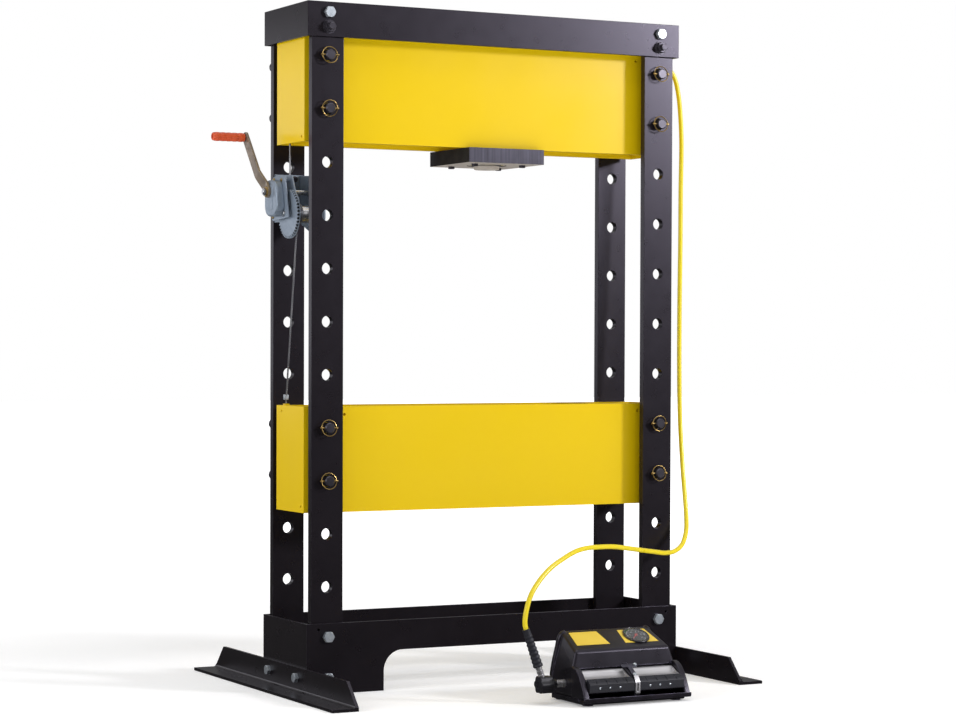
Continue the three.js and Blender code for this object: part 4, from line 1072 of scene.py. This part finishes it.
def make_fittings():
    y, z = PORT_CENTRE
    reaches = [22.3 + 1.9 * math.cos(2 * math.pi * i / 12) for i in range(72)]  # six lobes
    lobes = [(y + reach * a, z + reach * b) for reach, (a, b) in zip(reaches, circle(1, sides=72))]
    nut = softened(prism(lobes, "x", -103, -66), 2.2, 3, 50)
    neck = softened(rod("x", 13, -67, -52, PORT_CENTRE), 1.2)
    pocket = along_hose(rod("z", 9, 3, 40, (0, 0), 32))
    swivel = carve([nut, neck], [pocket, rod("x", 9, -110, -100, PORT_CENTRE, 32)])
    stand_in("swivel_fitting", swivel, SWIVEL)
    nipple = [(0, 0), (8, 0), (8, 6), (10, 7), (10, 12), (8.4, 13), (8.4, 16), (10, 17), (10, 26), (9, 27),
              (9, 46), (0, 46)]
    stand_in("port_nipple", moved(turned(nipple, 40), (-51.5, *PORT_CENTRE), facing("x", 1)), SILVER)
    clamp = carve([softened(block((-551, -539), (52, 62), (776, 790)), 1.5)],
                  [rod("z", 2.3, 770, 800, (-545, 57), 16)])
    piece("cable_clamp", clamp, BOLT_ZINC, "bed", "bright_steel")


for make in (make_columns, make_frames, make_feet, make_bolsters, make_pins, make_cylinder, make_winch,
             make_crank, make_sheaves, make_cables, make_housing, make_pump_base, make_pedals, make_lock,
             make_labels, make_gauge, make_fittings):
    make()


# ---- the CAD nodes' own finishes ----
FINISH = {
    "black_paint": BLACK, "yellow_paint": YELLOW, "bright_steel": STEEL, "dark_steel": DARK_STEEL,
    "brass_wire": BRASS, "wire_rope": ROPE, "black_rubber": RUBBER, "yellow_hose": HOSE_YELLOW,
    "silver_plate": SILVER, "zinc_plate": ZINC, "yellow_zinc": YELLOW_ZINC, "orange_grip": GRIP,
    "black_plastic": PLASTIC, "red_plastic": RED, "clear_lens": GLASS,
}
for node, obj in frame["nodes"].items():
    obj.data.materials.clear()
    obj.data.materials.append(FINISH[SLOT_OF[node]])


# ---- stage ----
HORIZON = 0.06  # light from level, and from straight above
ZENITH = 0.75


def make_floor():
    bm = bmesh.new()
    bmesh.ops.create_grid(bm, x_segments=1, y_segments=1, size=30)
    mesh = bpy.data.meshes.new("floor")
    bm.to_mesh(mesh)
    bm.free()
    floor = bpy.data.objects.new("floor", mesh)
    floor.location.z = -0.0005
    bpy.context.scene.collection.objects.link(floor)
    paper = surface("floor_paper", (0.88, 0.88, 0.885), (0.90, 0.90, 0.905), (0.7, 0.8), bump=0.02,
                    specular=0.1)
    tree = paper.node_tree
    far = tree.nodes.new("ShaderNodeVectorMath")
    far.operation = "LENGTH"
    tree.links.new(tree.nodes.new("ShaderNodeTexCoord").outputs["Object"], far.inputs[0])
    shader = tree.nodes["Principled BSDF"]
    shader.inputs["Emission Color"].default_value = (1, 1, 1, 1)
    tree.links.new(spread(tree, far.outputs["Value"], 0.22, 1.0, 1.2, 5.0),
                   shader.inputs["Emission Strength"])
    mesh.materials.append(paper)
    floor.visible_glossy = False


def area_light(name, place, aim, size, power, color=(1, 1, 1)):
    data = bpy.data.lights.new(name, "AREA")
    data.shape = "RECTANGLE"
    data.size, data.size_y = size
    data.energy = power
    data.color = color
    light = bpy.data.objects.new(name, data)
    light.location = place
    light.rotation_mode = "QUATERNION"
    light.rotation_quaternion = (Vector(aim) - Vector(place)).to_track_quat("-Z", "Y")
    light.visible_camera = False
    bpy.context.scene.collection.objects.link(light)


def make_light():
    world = bpy.data.worlds.new("studio")
    bpy.context.scene.world = world
    world.use_nodes = True
    tree = world.node_tree
    background = tree.nodes["Background"]
    background.inputs["Color"].default_value = (1, 1, 1, 1)
    way = tree.nodes.new("ShaderNodeSeparateXYZ")
    tree.links.new(tree.nodes.new("ShaderNodeTexCoord").outputs["Generated"], way.inputs["Vector"])
    sky = spread(tree, way.outputs["Z"], HORIZON, ZENITH, 0.0, 1.0)
    rays = tree.nodes.new("ShaderNodeLightPath")
    seen = tree.nodes.new("ShaderNodeMix")
    tree.links.new(rays.outputs["Is Camera Ray"], seen.inputs["Factor"])
    tree.links.new(sky, seen.inputs["A"])
    seen.inputs["B"].default_value = 1.0
    tree.links.new(seen.outputs["Result"], background.inputs["Strength"])
    area_light("key", (4.4, -4.6, 2.8), (0, 0, 1.0), (0.9, 0.9), 265, (0.98, 0.97, 1.0))
    area_light("left_fill", (-4.2, -0.8, 1.8), (0, 0, 0.9), (2.0, 2.0), 50)
    area_light("left_rear", (-3.0, 4.6, 1.5), (0, 0, 1.2), (3.4, 1.6), 17, (0.95, 0.95, 1.0))
    area_light("top", (0, -0.5, 4.5), (0, 0, 0), (4, 4), 45)
    bpy.context.scene.view_settings.view_transform = "Standard"


make_floor()
make_light()
